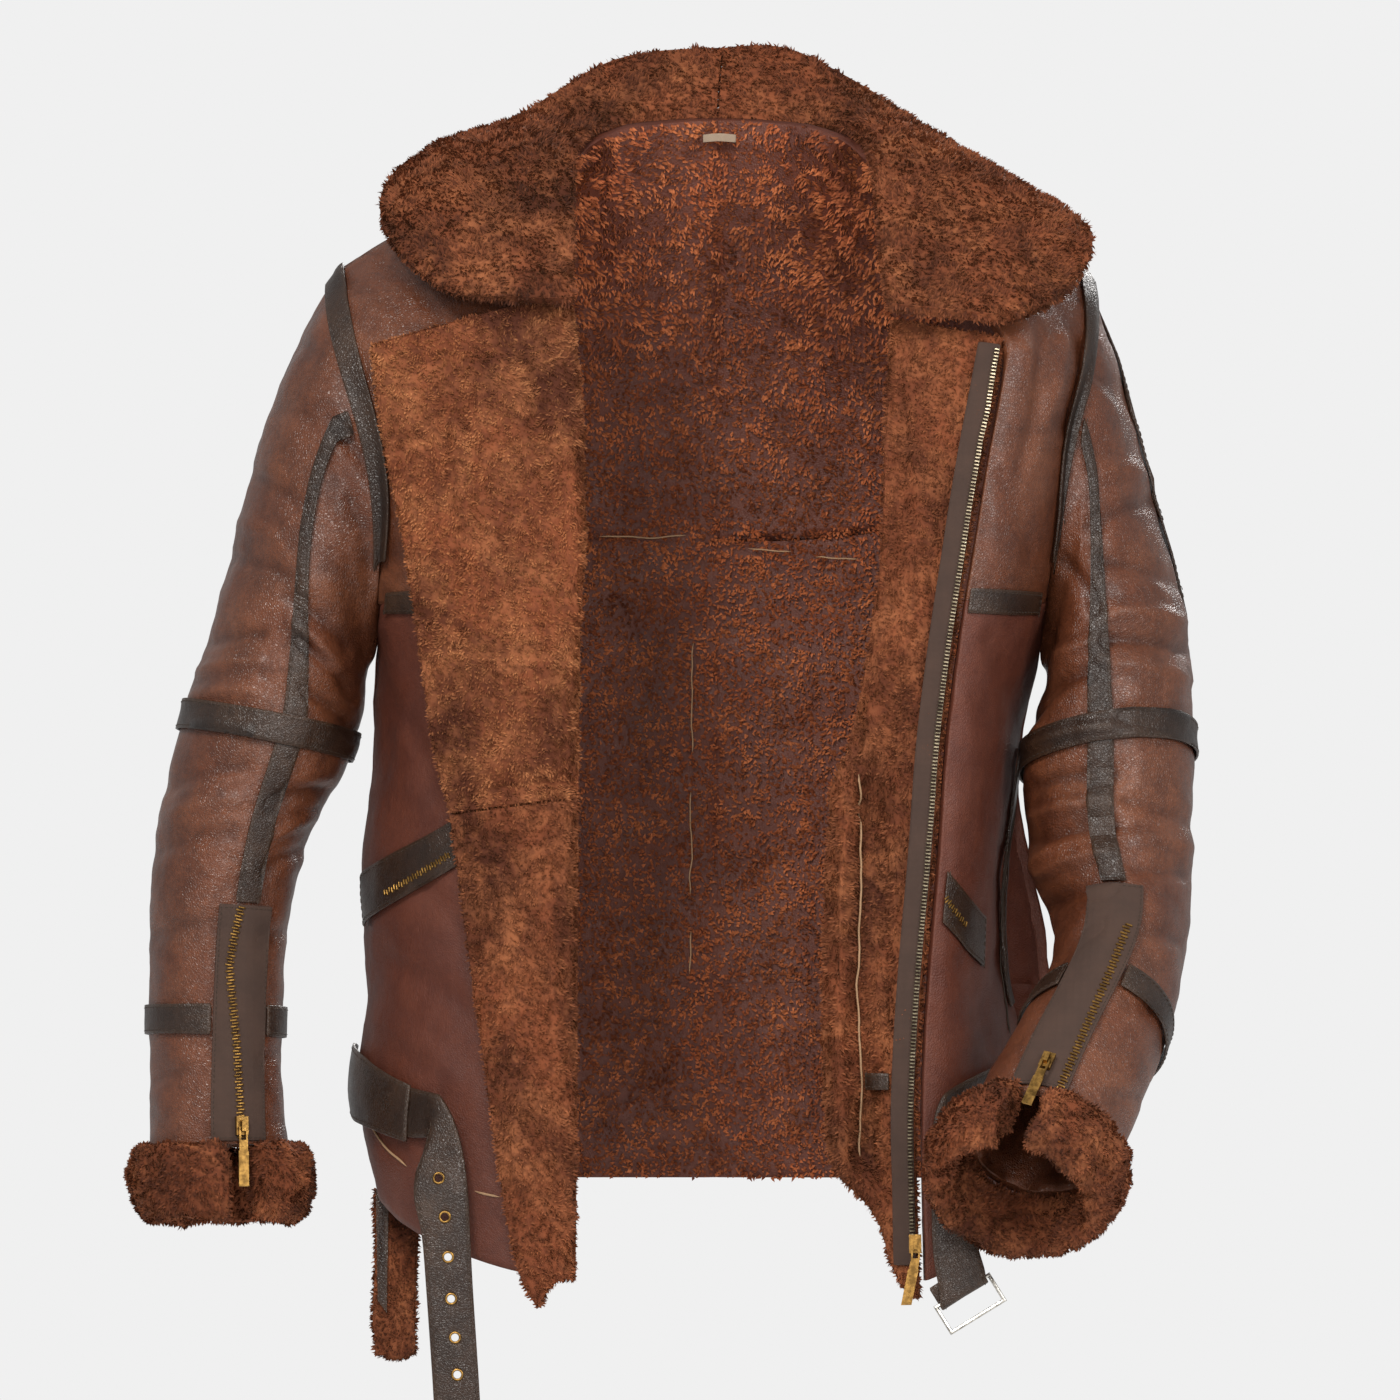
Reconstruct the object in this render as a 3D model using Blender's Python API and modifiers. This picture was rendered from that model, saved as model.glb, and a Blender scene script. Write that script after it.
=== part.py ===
"""A sheepskin flying jacket, hollow and open at the front, as it stands on its wearer.

Sizes are in millimetres until a mesh is made. X runs to the viewer's right, the front faces -Y,
Z is up, and the origin is the middle of the shoulder line, where the wearer holds it.
Every hide panel is cut from one of a few whole surfaces, so that neighbours share their seam.
"""

import math

import bmesh
import bpy
from mathutils import Vector

MM = 0.001
SKIN = 9.0  # hide and clipped pile together
COLLAR_SKIN = 10.0
SEAM_GAP = 0.3
LIFT = 0.8  # what lies on a panel stands this far off it
RING_LIFT = 1.7  # and what crosses its bends, this far
ARM_LIFT = 2.2
SEAM_LIFT = 1.6
BELT_LIFT = 1.6
TAPE = 1.5  # thickness of the seam tapes
TAPE_WIDE = 16.0
SHOULDER_ARCH = 7.0
RING_WIDE = 19.0
BELT = 2.2
BELT_WIDE = 31.0
PLACKET_WIDE = 37.0
ZIP_TAPE_WIDE = 15.0
ZIP_TAPE = 1.0
ZIP_LIFT = 1.4
EYELET_RADIUS = 2.7

LEATHER = ("smooth_leather", (0.16, 0.045, 0.022), 0.38)
MATT = ("matt_leather", (0.10, 0.030, 0.015), 0.6)
FUR = ("fur", (0.20, 0.055, 0.018), 0.95)
TRIM = ("dark_trim", (0.045, 0.030, 0.018), 0.4)
TAPE_CLOTH = ("zip_tape", (0.085, 0.060, 0.045), 0.8)
BRASS = ("brass", (0.40, 0.22, 0.05), 0.35)
STEEL = ("steel", (0.45, 0.43, 0.38), 0.3)
LOOP_CLOTH = ("loop_cloth", (0.45, 0.36, 0.27), 0.8)
METALS = ("brass", "steel")

# Body rows from the hem to the armpit: the front edge's height, the side's height,
# and the side seam's x and y, left, right front and right back.
BODY_COLUMNS = ("front_z", "side_z", "left_x", "right_x", "right_y", "right_back_x", "right_back_y")
BODY = (
    (-690, -627, -215, 218, 0, 218, 0),
    (-652, -590, -224, 219, 0, 219, 0),
    (-612, -560, -228, 217, 0, 217, 0),
    (-570, -530, -222, 205, -14, 223, 2),
    (-530, -500, -219, 196, -24, 224, 4),
    (-487, -465, -222, 192, -28, 222, 4),
    (-445, -430, -225, 193, -24, 214, 3),
    (-405, -395, -221, 198, -12, 206, 2),
    (-367, -360, -215, 203, 0, 203, 0),
    (-328, -325, -216, 208, 0, 208, 0),
    (-290, -290, -214, 217, 0, 217, 0),
)
# Heights of the middle of each row above the armpit, in front and at the back.
FRONT_UP = (-270, -251, -222, -190, -157, -122, -85, -45, -3, 36)
BACK_UP = (-271, -252, -232, -212, -178, -140, -100, -55, -8, 56)
# The armhole seam from the armpit to the shoulder: height, x at the left and right, half depth.
ARMHOLE_COLUMNS = ("z", "left_x", "right_x", "half")
ARMHOLE = (
    (-290, -214, 217, 0),
    (-275, -214, 219, 30),
    (-240, -211, 224, 60),
    (-185, -208, 231, 77),
    (-146, -214, 233, 75),
    (-88, -232, 250, 58),
    (-60, -238, 251, 38),
    (-37, -240, 248, 0),
)
# The middle edge of each front: height, x and y. The left one is the fold, the right one the zip.
EDGE_COLUMNS = ("z", "x", "y")
LEFT_EDGE = (
    (-700, -93, -132), (-575, -92, -133), (-400, -91, -132), (-276, -90, -130), (-211, -86, -126),
    (-146, -87, -119), (-85, -92, -103), (-45, -94, -76), (-3, -94, -40), (36, -92, 8),
)
RIGHT_EDGE = (
    (-700, 143, -146), (-614, 141, -147), (-575, 140.5, -147), (-497, 145, -147), (-406, 153, -146),
    (-354, 156, -145), (-302, 162, -144), (-250, 169, -142), (-211, 175.5, -140), (-166, 182, -136),
    (-120, 191, -129), (-72, 196, -117), (-45, 170, -86), (-3, 132, -42), (36, 112, 8),
)
# Depth of the centre back and how far round each row turns, by row.
BACK_Y = (119, 118, 116, 115, 116, 118, 121, 124, 126, 128, 130, 131, 132, 132, 132, 131, 129, 124, 116, 105, 88)
TURN_BACK = (90,) * 11 + (82, 75, 70, 66, 62, 58, 55, 52, 50, 50)
TURN_LEFT = (90,) * 11 + (82, 74, 68, 62, 58, 54, 50, 45, 40, 35)
TURN_RIGHT = (56,) * 11 + (54, 52, 50, 48, 46, 44, 42, 40, 38, 35)
CENTRE_X = 8
NECK_COLUMNS = 3
SHOULDER_COLUMNS = 7
ARM_ROW = 10
CHEST_ROW = 12
CROSS_ROW = 14
LOW_ROW = 4
TOP_ROW = 20

# Sleeve rings from the armhole to the cuff: outer and inner ends as x and z, the middle's y,
# half the depth, the angles of the front and the back seam from the outer end, and how far
# the ring leans back as the sleeve comes forward.
RING_COLUMNS = ("outer_x", "outer_z", "inner_x", "inner_z", "y", "half", "front", "back", "lean")
LEFT_RINGS = (
    (-240, -37, -214, -290, 0, 77, 72, 311, 0),
    (-263, -78, -219, -297, 2, 78, 74, 311, 0),
    (-283, -123, -220, -308, 1, 77, 80, 306, 0),
    (-298, -172, -221, -319, 0, 76, 88, 300, 0),
    (-311, -224, -223, -330, -2, 75, 95, 294, 1),
    (-325, -276, -225, -339, -4, 73, 101, 288, 2),
    (-340, -325, -227, -346, -6, 72, 106, 283, 3),
    (-354, -378, -247, -388, -9, 68, 109, 280, 3),
    (-359, -413, -261, -421, -12, 64, 112, 277, 3),
    (-362, -447, -269, -451, -14, 60, 114, 275, 2),
    (-362, -510, -274, -512, -17, 56, 114, 273, 2),
    (-362, -570, -274, -571, -20, 54, 112, 272, 2),
    (-362, -605, -270, -604, -21, 54, 109, 272, 2),
)
RIGHT_RINGS = (
    (248, -37, 217, -290, 0, 77, 72, 330, 0),
    (262, -78, 223, -298, 0, 78, 73, 343, 0),
    (275, -123, 221, -307, -4, 77, 76, 351, 2),
    (287, -172, 218, -317, -11, 76, 80, 350, 4),
    (301, -221, 214, -327, -19, 74, 85, 343, 7),
    (314, -266, 210, -338, -27, 72, 90, 328, 10),
    (318, -340, 207, -357, -36, 71, 94, 310, 14),
    (318, -392, 206, -392, -44, 69, 97, 296, 18),
    (317, -436, 210, -428, -60, 66, 99, 287, 24),
    (314, -472, 223, -462, -82, 63, 100, 280, 32),
    (306, -512, 219, -500, -118, 59, 100, 276, 39),
    (286, -568, 187, -550, -172, 55, 102, 274, 42),
    (265, -615, 166, -587, -206, 54, 104, 272, 40),
)
RING_STATIONS = 20
FRONT_SEAM = 4
ARMPIT_STATION = 10
BACK_SEAM = 16
BACK_SHARES = {-1: 0.8, 1: 0.9}  # how far up the armhole the back seam of each sleeve starts
STEPS_A_RING = 2
ELBOW_RING = 12
FOREARM_RINGS = {"left": 20.4, "right": 20.8}
PLACKET_RING = 18
CUFF_RING = 24
# The deepest folds of a sleeve: ring, station, reach along and around, and depth (below 0 is a trough).
FOLD_COLUMNS = ("ring", "station", "along", "around", "depth")
LEFT_FOLDS = (
    (7.5, 2.0, 1.7, 2.2, -3.5),
    (9.5, 6.5, 1.2, 2.4, -3.5),
    (13.2, 7.5, 1.0, 2.2, 3.5),
    (14.6, 8.0, 0.9, 2.6, -5.0),
    (17.0, 7.0, 1.2, 2.0, 2.5),
    (11.0, 14.0, 1.3, 3.0, -4.0),
    (15.5, 13.0, 1.2, 2.6, -4.0),
)
RIGHT_FOLDS = (
    (9.3, 8.0, 1.0, 2.4, -4.5),
    (10.8, 8.0, 0.9, 2.4, 4.0),
    (13.2, 8.0, 0.9, 2.6, 4.5),
    (14.5, 8.0, 0.8, 2.6, -6.0),
    (16.0, 8.0, 0.9, 2.6, 4.5),
    (17.6, 9.0, 0.9, 2.6, -6.0),
    (12.0, 14.0, 1.4, 3.0, -4.0),
    (16.5, 13.5, 1.2, 2.6, -4.0),
)

# Collar sections from the left front end round the neck to the right: the neck edge,
# the outer edge, and how high the fur stands between them.
COLLAR_COLUMNS = ("nx", "ny", "nz", "ox", "oy", "oz", "rise")
COLLAR = (
    (-84, -121, -55, -164, -113, -54, 7),
    (-84, -98, -30, -188, -97, -38, 12),
    (-84, -64, -2, -208, -72, -15, 16),
    (-84, -26, 33, -214, -36, 4, 17),
    (-83, 8, 50, -209, 8, 26, 15),
    (-76, 40, 58, -186, 48, 46, 12),
    (-62, 62, 61, -140, 86, 56, 9),
    (-44, 75, 61, -97, 104, 84, 7),
    (-20, 82, 59.5, -58, 116, 111, 5),
    (8, 84, 60, 12, 124, 113, 4),
    (36, 83, 60, 52, 124, 117, 5),
    (62, 77, 61, 86, 117, 98, 7),
    (82, 65, 61, 118, 107, 80, 9),
    (97, 44, 58, 151, 85, 54, 12),
    (105, 12, 49, 199, 42, 22, 15),
    (108, -18, 33, 241, 4, 5, 17),
    (111, -52, 2, 256, -36, -13, 17),
    (113, -82, -22, 249, -68, -35, 15),
    (115, -108, -42, 231, -95, -56, 11),
    (118, -130, -58, 196, -131, -66, 5),
)
COLLAR_MIDDLE = 9
COLLAR_STEPS = 6

# Rows of the folded-back edge, bottom to top: height at the fold, and the outer edge.
LAPEL_COLUMNS = ("fold_z", "ox", "oy", "oz")
LAPEL = (
    (-698, -104, -142, -706), (-686, -116, -140, -691), (-650, -125, -139, -654), (-610, -131, -138, -612),
    (-570, -137, -136, -572), (-530, -143, -134, -532), (-490, -149, -133, -490), (-450, -154, -131, -450),
    (-415, -159, -129, -417), (-380, -163, -128, -389), (-345, -173, -126, -352), (-310, -178, -124, -316),
    (-276, -183, -122, -280), (-251, -187, -121, -253), (-222, -192, -120, -222), (-190, -198, -119, -190),
    (-157, -206, -118, -157), (-122, -211, -118, -126), (-85, -215, -116, -100), (-60, -216, -115, -86),
)
LAPEL_SEAM = 9
LAPEL_OFF = 4.5
LAPEL_TURN = ((-8.0, 0.7), (-0.5, 0.8), (1.4, -1.5))  # the roll round the fold: depth, then x, off the front

# Rows of the storm flap, bottom to top: height at the zip, the inner edge, and how much it curls.
FLAP_COLUMNS = ("zip_z", "ix", "iz", "curl")
FLAP = (
    (-702, 128, -696, 0), (-680, 117, -680, 0), (-650, 113, -652, 0), (-628, 96, -634, 0.2),
    (-605, 77, -619, 0.9), (-575, 75, -585, 1), (-535, 74, -540, 1), (-495, 74, -497, 1),
    (-455, 75, -455, 1), (-415, 77, -413, 1), (-380, 80, -375, 0.9), (-345, 92, -342, 0.5),
    (-305, 101, -302, 0.1), (-265, 108, -262, 0), (-225, 113, -222, 0), (-185, 114, -182, 0),
    (-145, 115, -142, 0), (-112, 117, -108, 0), (-86, 119, -76, 0),
)
FLAP_STEPS = 9
FLAP_SKIN = 8.0
FLAP_OFF = 5.2

# The belt's free end, from the loop down: the right edge and the left edge.
BELT_END = (
    (-171, -117, -570, -177, -113, -598),
    (-164, -122, -580, -181, -118, -610),
    (-158, -126, -597, -187, -122, -622),
    (-154, -128, -618, -189, -126, -638),
    (-152, -128, -645, -183, -128, -655),
    (-151, -127, -680, -181, -127, -683),
    (-148, -125, -725, -178, -125, -726),
    (-145, -123, -770, -175, -123, -770),
    (-144, -122, -800, -174, -122, -800),
    (-149, -122, -811, -169, -122, -811),
    (-155, -122, -816, -163, -122, -816),
)
EYELETS = ((-172, -624), (-168, -649), (-166, -675), (-164, -702), (-161.5, -727), (-160, -751))
# The buckle end, from the zip down to its bar: what was the top edge, then the bottom edge.
BUCKLE_END = (
    (153, -152, -570, 161, -151, -598),
    (147, -155, -583, 166, -154, -606),
    (146, -157, -605, 170, -156, -620),
    (146, -158, -632, 172, -158, -640),
    (146, -159, -660, 174.5, -159, -662),
    (148, -160, -683, 178, -160, -675),
    (152, -160, -698, 180.5, -160, -682),
)
FRAME_BAR = ((149, -158, -707), (183, -158, -686))
FRAME_DEPTH = 19.0
WIRE = 1.25
CURL = 1.9  # from the bar's axis to the strap that turns round it

CUFF_SECTION = ((-8, 1), (1, 1), (9, -3), (15, 8), (16, 24), (12, 42), (3, 52), (-7, 48), (-10, 25))
CUFF_PARTING = 8.5
# Zip sliders and their pulls as blocks between lines: along, across and off the zip.
SLIDER_LINES = ((-6, -3.6, -2.4, 2.4, 3.6, 6), (-4, -1.3, 1.3, 4), (0, 3, 5.3, 6.5))
PULL_LINES = ((-0.6, 0.6, 8, 15, 38), (-3.4, -2.9, -1.7, 1.7, 2.9, 3.4), (-0.6, 0.6))
PULL_ALONG = 1.4
PULL_OFF = 4.15
WELT_TALL = 32.0


CHEST_ENDS = {"left": 6.3, "right": 5.9}
CROSS_ENDS = {"left": 9.1, "right": 9.1}
VENT_ROWS = (3.6, 8.4)
# Pocket welts: the middle line by column and height.
WELTS = {
    "left": ((6.3, -446), (6.0, -443), (5.5, -439), (5.0, -436), (4.5, -431), (4.0, -427), (3.5, -421), (3.0, -415),
             (2.5, -407), (2.0, -399)),
    "right": ((0.6, -442), (1.0, -445), (2.0, -453), (3.0, -461), (4.0, -468), (4.6, -472)),
}
ZIP_SLIDER = (136.2, -666)
KEEPER_X = (119, 115.5, 112, 108.5, 105)
KEEPER_Z = (-556, -567)
# The belt's middle line on the fronts by column and height, and the loop's, with its width.
LEFT_BAND = ((3.6, -583), (4.0, -579), (4.5, -575), (5.0, -572), (5.5, -569), (6.0, -566), (6.5, -564), (7.0, -562))
RIGHT_BAND = ((6.0, -562), (5.0, -565), (4.0, -569), (3.0, -574), (2.0, -579), (1.5, -582))
LOOP_FRONT = (
    (7.0, -562, 46), (6.5, -564, 45), (6.0, -566, 44), (5.5, -569, 42), (5.0, -572, 40), (4.5, -576, 38),
    (4.0, -580, 37), (3.6, -583, 36),
)
TAB_Y = (-17, -8)
TAB_OUTLINE = (
    (-204.5, -600), (-187, -600), (-187, -736), (-190, -741), (-195, -743), (-208, -743), (-213, -741),
    (-216, -736), (-216, -634), (-204.5, -632),
)
HANG_LOOP = ((-1, 76.5, 51), (3, 74.5, 51.5), (9, 73.5, 52), (15, 74.5, 51.5), (20, 76.5, 51))


def between(keys, values, at):
    """A smooth curve through a table's column, read at one key; the keys rise."""
    last = len(keys) - 1
    j = 0
    while j < last - 1 and at > keys[j + 1]:
        j += 1
    slopes = []
    for k in (j, j + 1):
        low, high = max(k - 1, 0), min(k + 1, last)
        slopes.append((values[high] - values[low]) / (keys[high] - keys[low]))
    step = keys[j + 1] - keys[j]
    t = min(max((at - keys[j]) / step, 0.0), 1.0)
    h = t * t * (3 - 2 * t)
    return (values[j] * (1 - h) + values[j + 1] * h
            + step * (slopes[0] * t * (1 - t) ** 2 - slopes[1] * t * t * (1 - t)))


def columns(names, rows):
    """A table as a dictionary of its named columns."""
    return {name: [float(row[n]) for row in rows] for n, name in enumerate(names)}


def read(table, key, names, at):
    """Several columns of a table read at one value of the key column."""
    return [between(table[key], table[name], at) for name in names]


def mix(a, b, share):
    return a + (b - a) * share


class Surface:
    """A grid of points in rows and columns that stands for one whole side of the garment."""

    def __init__(self, points, flip=False, closed=False):
        self.points = points
        self.flip = flip
        self.closed = closed
        self.rows = len(points)
        self.cols = len(points[0])
        self.normals = None

    def corner(self, i, k):
        return (i, k % self.cols) if self.closed else (i, k)

    def cells(self):
        """The corners of every cell, ordered so that the face looks outwards."""
        for i in range(self.rows - 1):
            for k in range(self.cols if self.closed else self.cols - 1):
                ring = [(i, k), (i, k + 1), (i + 1, k + 1), (i + 1, k)]
                yield [self.corner(*c) for c in (reversed(ring) if self.flip else ring)]

    def at(self, i, k, out=0.0):
        """A point on the faceted surface at fractional row and column, moved out along the normal."""
        last = self.cols if self.closed else self.cols - 1
        row = min(max(int(math.floor(i)), 0), self.rows - 2)
        col = int(math.floor(k)) if self.closed else min(max(int(math.floor(k)), 0), last - 1)
        s, t = i - row, k - col
        weights = {
            (row, col): min(1 - s, 1 - t),
            (row + 1, col + 1): min(s, t),
            (row + 1, col): max(s - t, 0.0),
            (row, col + 1): max(t - s, 0.0),
        }
        place, normal = Vector(), Vector()
        for (r, c), weight in weights.items():
            r, c = self.corner(r, c)
            place += self.points[r][c] * weight
            normal += self.normals[r][c] * weight
        return place + normal.normalized() * out

    def where(self, x, z):
        """The fractional row and column seen at x and z from the front."""
        rising = self.points[0][-1].x > self.points[0][0].x
        i, k = self.rows / 2, self.cols / 2
        for _ in range(8):
            low, high = 0.0, self.cols - 1.0
            for _ in range(22):
                k = (low + high) / 2
                if (self.at(i, k).x < x) == rising:
                    low = k
                else:
                    high = k
            low, high = 0.0, self.rows - 1.0
            for _ in range(22):
                i = (low + high) / 2
                if self.at(i, k).z < z:
                    low = i
                else:
                    high = i
        return i, k

    def row_at(self, z, k):
        """The fractional row of one column at a height."""
        low, high = 0.0, self.rows - 1.0
        for _ in range(24):
            middle = (low + high) / 2
            if self.at(middle, k).z < z:
                low = middle
            else:
                high = middle
        return low

    def reach(self, i, k, way, distance):
        """Moves along rows ('i') or columns ('k') by a distance; below 0 it goes the other way."""
        step = 0.02 if distance > 0 else -0.02
        here, gone = self.at(i, k), 0.0
        while gone < abs(distance):
            i, k = (i + step, k) if way == "i" else (i, k + step)
            there = self.at(i, k)
            gone += (there - here).length
            here = there
        return i, k


def share_normals(*groups):
    """Gives every point its group's mean normal, and the mean of the groups where they are sewn."""
    totals = []

    def key(p):
        return (round(p.x, 2), round(p.y, 2), round(p.z, 2))

    for group in groups:
        total = {}
        for surface in group:
            for cell in surface.cells():
                a, b, c, d = (surface.points[i][k] for i, k in cell)
                face = (c - a).cross(d - b).normalized()
                for p in (a, b, c, d):
                    total[key(p)] = total.get(key(p), Vector()) + face
        totals.append({place: normal.normalized() for place, normal in total.items()})
    for surface in (surface for group in groups for surface in group):
        surface.normals = [[sum((t[key(p)] for t in totals if key(p) in t), Vector()).normalized()
                            for p in row] for row in surface.points]


def front_surface(edge_rows, side, turn):
    """One front, from its middle edge (column 0) round to the side seam and the armhole."""
    edge = columns(EDGE_COLUMNS, edge_rows)
    body = columns(BODY_COLUMNS, BODY)
    points = []
    for row in range(TOP_ROW + 1):
        low = row <= ARM_ROW
        z = body["front_z"][row] if low else FRONT_UP[row - ARM_ROW - 1]
        cx, cy = read(edge, "z", ("x", "y"), z)
        centre = Vector((cx, cy, z))
        if low:
            x = body["left_x" if side < 0 else "right_x"][row]
            y = 0.0 if side < 0 else body["right_y"][row]
            outer = Vector((x, y, body["side_z"][row]))
        else:
            outer = armhole(side, (row - ARM_ROW) / ARM_ROW, front=True)
        points.append([quarter(centre, outer, turn[row], j / SHOULDER_COLUMNS)
                       for j in range(SHOULDER_COLUMNS + 1)])
    shape_top(points, [shoulder(side, j / SHOULDER_COLUMNS) for j in range(SHOULDER_COLUMNS + 1)])
    return Surface(points, flip=side < 0)


def back_surface(side):
    """Half of the back, from the centre seam (column 0) round to the side seam and the armhole."""
    body = columns(BODY_COLUMNS, BODY)
    count = NECK_COLUMNS + SHOULDER_COLUMNS
    points = []
    for row in range(TOP_ROW + 1):
        low = row <= ARM_ROW
        z = body["side_z"][row] if low else BACK_UP[row - ARM_ROW - 1]
        centre = Vector((CENTRE_X, BACK_Y[row], z))
        if low:
            x = body["left_x" if side < 0 else "right_back_x"][row]
            y = 0.0 if side < 0 else body["right_back_y"][row]
            outer = Vector((x, y, body["side_z"][row]))
        else:
            outer = armhole(side, back_share(side, row - ARM_ROW), front=False)
        flat = 1.3 if low else 2.6
        points.append([quarter(centre, outer, TURN_BACK[row], j / count, flat) for j in range(count + 1)])
    neck = neck_point(side)
    top = []
    for j in range(NECK_COLUMNS):
        turn = math.pi / 2 * j / NECK_COLUMNS
        centre = points[TOP_ROW][0]
        top.append(Vector((mix(centre.x, neck.x, math.sin(turn)), mix(neck.y, centre.y, math.cos(turn)),
                           mix(neck.z, centre.z, math.cos(turn)))))
    top += [shoulder(side, j / SHOULDER_COLUMNS) for j in range(SHOULDER_COLUMNS + 1)]
    shape_top(points, top)
    return Surface(points, flip=side > 0)


def quarter(centre, outer, turn, share, flat=1.3):
    """A point of a row that leaves the centre square and has turned by an angle at its outer end."""
    end = math.radians(turn)
    here = end * share
    across = math.sin(here) / math.sin(end)
    deep = (math.cos(here) - math.cos(end)) / (1 - math.cos(end))
    return Vector((mix(centre.x, outer.x, across), mix(outer.y, centre.y, deep),
                   mix(centre.z, outer.z, share ** flat)))


def neck_point(side):
    return Vector(((-92 if side < 0 else 112), 8, 36))


def shoulder(side, share):
    """The shoulder seam, from the neck to the armhole."""
    tip = armhole(side, 1.0, front=True)
    place = neck_point(side).lerp(tip, share)
    place.z += SHOULDER_ARCH * math.sin(math.pi * share)
    return place


def shape_top(points, top, rows=4):
    """Bends the last rows towards the shoulder line, which becomes the top row."""
    for back in range(rows):
        row = TOP_ROW - back
        share = ((rows - back) / rows) ** 2
        width = len(points[row]) - 1
        for j in range(1, width):
            target = top[j] + (points[row][0].lerp(points[row][width], j / width)
                               - top[0].lerp(top[width], j / width))
            points[row][j] = points[row][j].lerp(target, share)
    points[TOP_ROW] = top


def back_share(side, steps_up):
    """How far up the armhole a back station lies, so that the back seam meets it where it should."""
    seam, top = BACK_SEAM - ARMPIT_STATION, RING_STATIONS - ARMPIT_STATION
    if steps_up <= seam:
        return BACK_SHARES[side] * steps_up / seam
    return mix(BACK_SHARES[side], 1.0, (steps_up - seam) / (top - seam))


def armhole(side, share, front):
    """A point of the armhole, from the armpit (0) to the shoulder tip (1), by length along it."""
    table = columns(ARMHOLE_COLUMNS, ARMHOLE)
    name = "left_x" if side < 0 else "right_x"
    sign = -1 if front else 1
    corners = [Vector((x, sign * half, z)) for x, half, z in zip(table[name], table["half"], table["z"])]
    lengths = [0.0]
    for a, b in zip(corners, corners[1:]):
        lengths.append(lengths[-1] + (b - a).length)
    at = share * lengths[-1]
    return Vector([between(lengths, [c[axis] for c in corners], at) for axis in range(3)])


def ring_angle(station, front, back):
    """The angle of a station, with the two long seams on stations of their own."""
    marks = (0, FRONT_SEAM, ARMPIT_STATION, BACK_SEAM, RING_STATIONS)
    angles = (0.0, front, 180.0, back, 360.0)
    for n in range(4):
        if station <= marks[n + 1]:
            share = (station - marks[n]) / (marks[n + 1] - marks[n])
            return math.radians(mix(angles[n], angles[n + 1], share))
    return math.radians(angles[-1])


def sleeve_surface(rows, side, folds):
    """A whole sleeve as rings; its first ring is the armhole itself."""
    table = columns(RING_COLUMNS, rows)
    keys = [float(n) for n in range(len(rows))]
    rings = [n / STEPS_A_RING for n in range((len(rows) - 1) * STEPS_A_RING + 1)]

    points = []
    for n, at in enumerate(rings):
        ring_at = {name: between(keys, table[name], at) for name in RING_COLUMNS}
        outer = Vector((ring_at["outer_x"], ring_at["y"], ring_at["outer_z"]))
        inner = Vector((ring_at["inner_x"], ring_at["y"], ring_at["inner_z"]))
        across = (inner - outer) / 2
        down = Vector((-across.z, 0, across.x)).normalized() * side
        lean = math.radians(ring_at["lean"])
        depth = (Vector((0, -math.cos(lean), 0)) - down * math.sin(lean)) * ring_at["half"]
        ring = []
        for station in range(RING_STATIONS):
            if n == 0:
                share = (ARMPIT_STATION - station) / ARMPIT_STATION
                if station > ARMPIT_STATION:
                    share = back_share(side, station - ARMPIT_STATION)
                ring.append(armhole(side, share, front=station < ARMPIT_STATION))
                continue
            turn = ring_angle(station, ring_at["front"], ring_at["back"])
            ring.append((outer + inner) / 2 - across * math.cos(turn) + depth * math.sin(turn))
        points.append(ring)
    surface = Surface(points, flip=side < 0, closed=True)
    share_normals([surface])
    for n in range(1, len(points)):
        for station in range(RING_STATIONS):
            points[n][station] = points[n][station] + surface.normals[n][station] * fold_at(folds, n, station)
    return Surface(points, flip=side < 0, closed=True)


def fold_at(folds, ring, station):
    """How far the folds push one point of a sleeve in or out."""
    total = 0.0
    for row in folds:
        fold = dict(zip(FOLD_COLUMNS, row))
        along = (ring - fold["ring"]) / fold["along"]
        around = (station - fold["station"]) / fold["around"]
        total += fold["depth"] * math.exp(-along * along - around * around)
    return total


def collar_surface():
    """The whole collar's fur side, from the neck (column 0) to the outer edge."""
    points = []
    for row in COLLAR:
        section = dict(zip(COLLAR_COLUMNS, row))
        neck = Vector((section["nx"], section["ny"], section["nz"]))
        edge = Vector((section["ox"], section["oy"], section["oz"]))
        lean = (neck + edge) / 2 - Vector((CENTRE_X, 60, -60))
        up = (lean - (edge - neck) * lean.dot(edge - neck) / (edge - neck).length_squared).normalized()
        line = []
        for j in range(COLLAR_STEPS + 1):
            v = j / COLLAR_STEPS
            line.append(neck.lerp(edge, v) + up * section["rise"] * 4 * v * (1 - v))
        points.append(line)
    return Surface(points, flip=True)


def lapel_surface(front):
    """The folded-back edge's hide side: round the front's own edge first, then out to the new edge."""
    edge = columns(EDGE_COLUMNS, LEFT_EDGE)
    steps = 6
    points = []
    for row in LAPEL:
        line = dict(zip(LAPEL_COLUMNS, row))
        x, y = read(edge, "z", ("x", "y"), line["fold_z"])
        fold = Vector((x, y, line["fold_z"]))
        outer = Vector((line["ox"], line["oy"], line["oz"]))
        row_at = front.row_at(fold.z, 0)
        points.append([front.at(row_at, 0, out) + Vector((dx, 0, 0)) for out, dx in LAPEL_TURN])
        start = front.at(row_at, 0, LAPEL_OFF) + Vector((-6, 0, 0))
        for j in range(steps + 1):
            v = j / steps
            place = start.lerp(outer, v)
            place.y -= 5 * math.sin(math.pi * v)
            points[-1].append(place)
    return Surface(points, flip=True)


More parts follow.
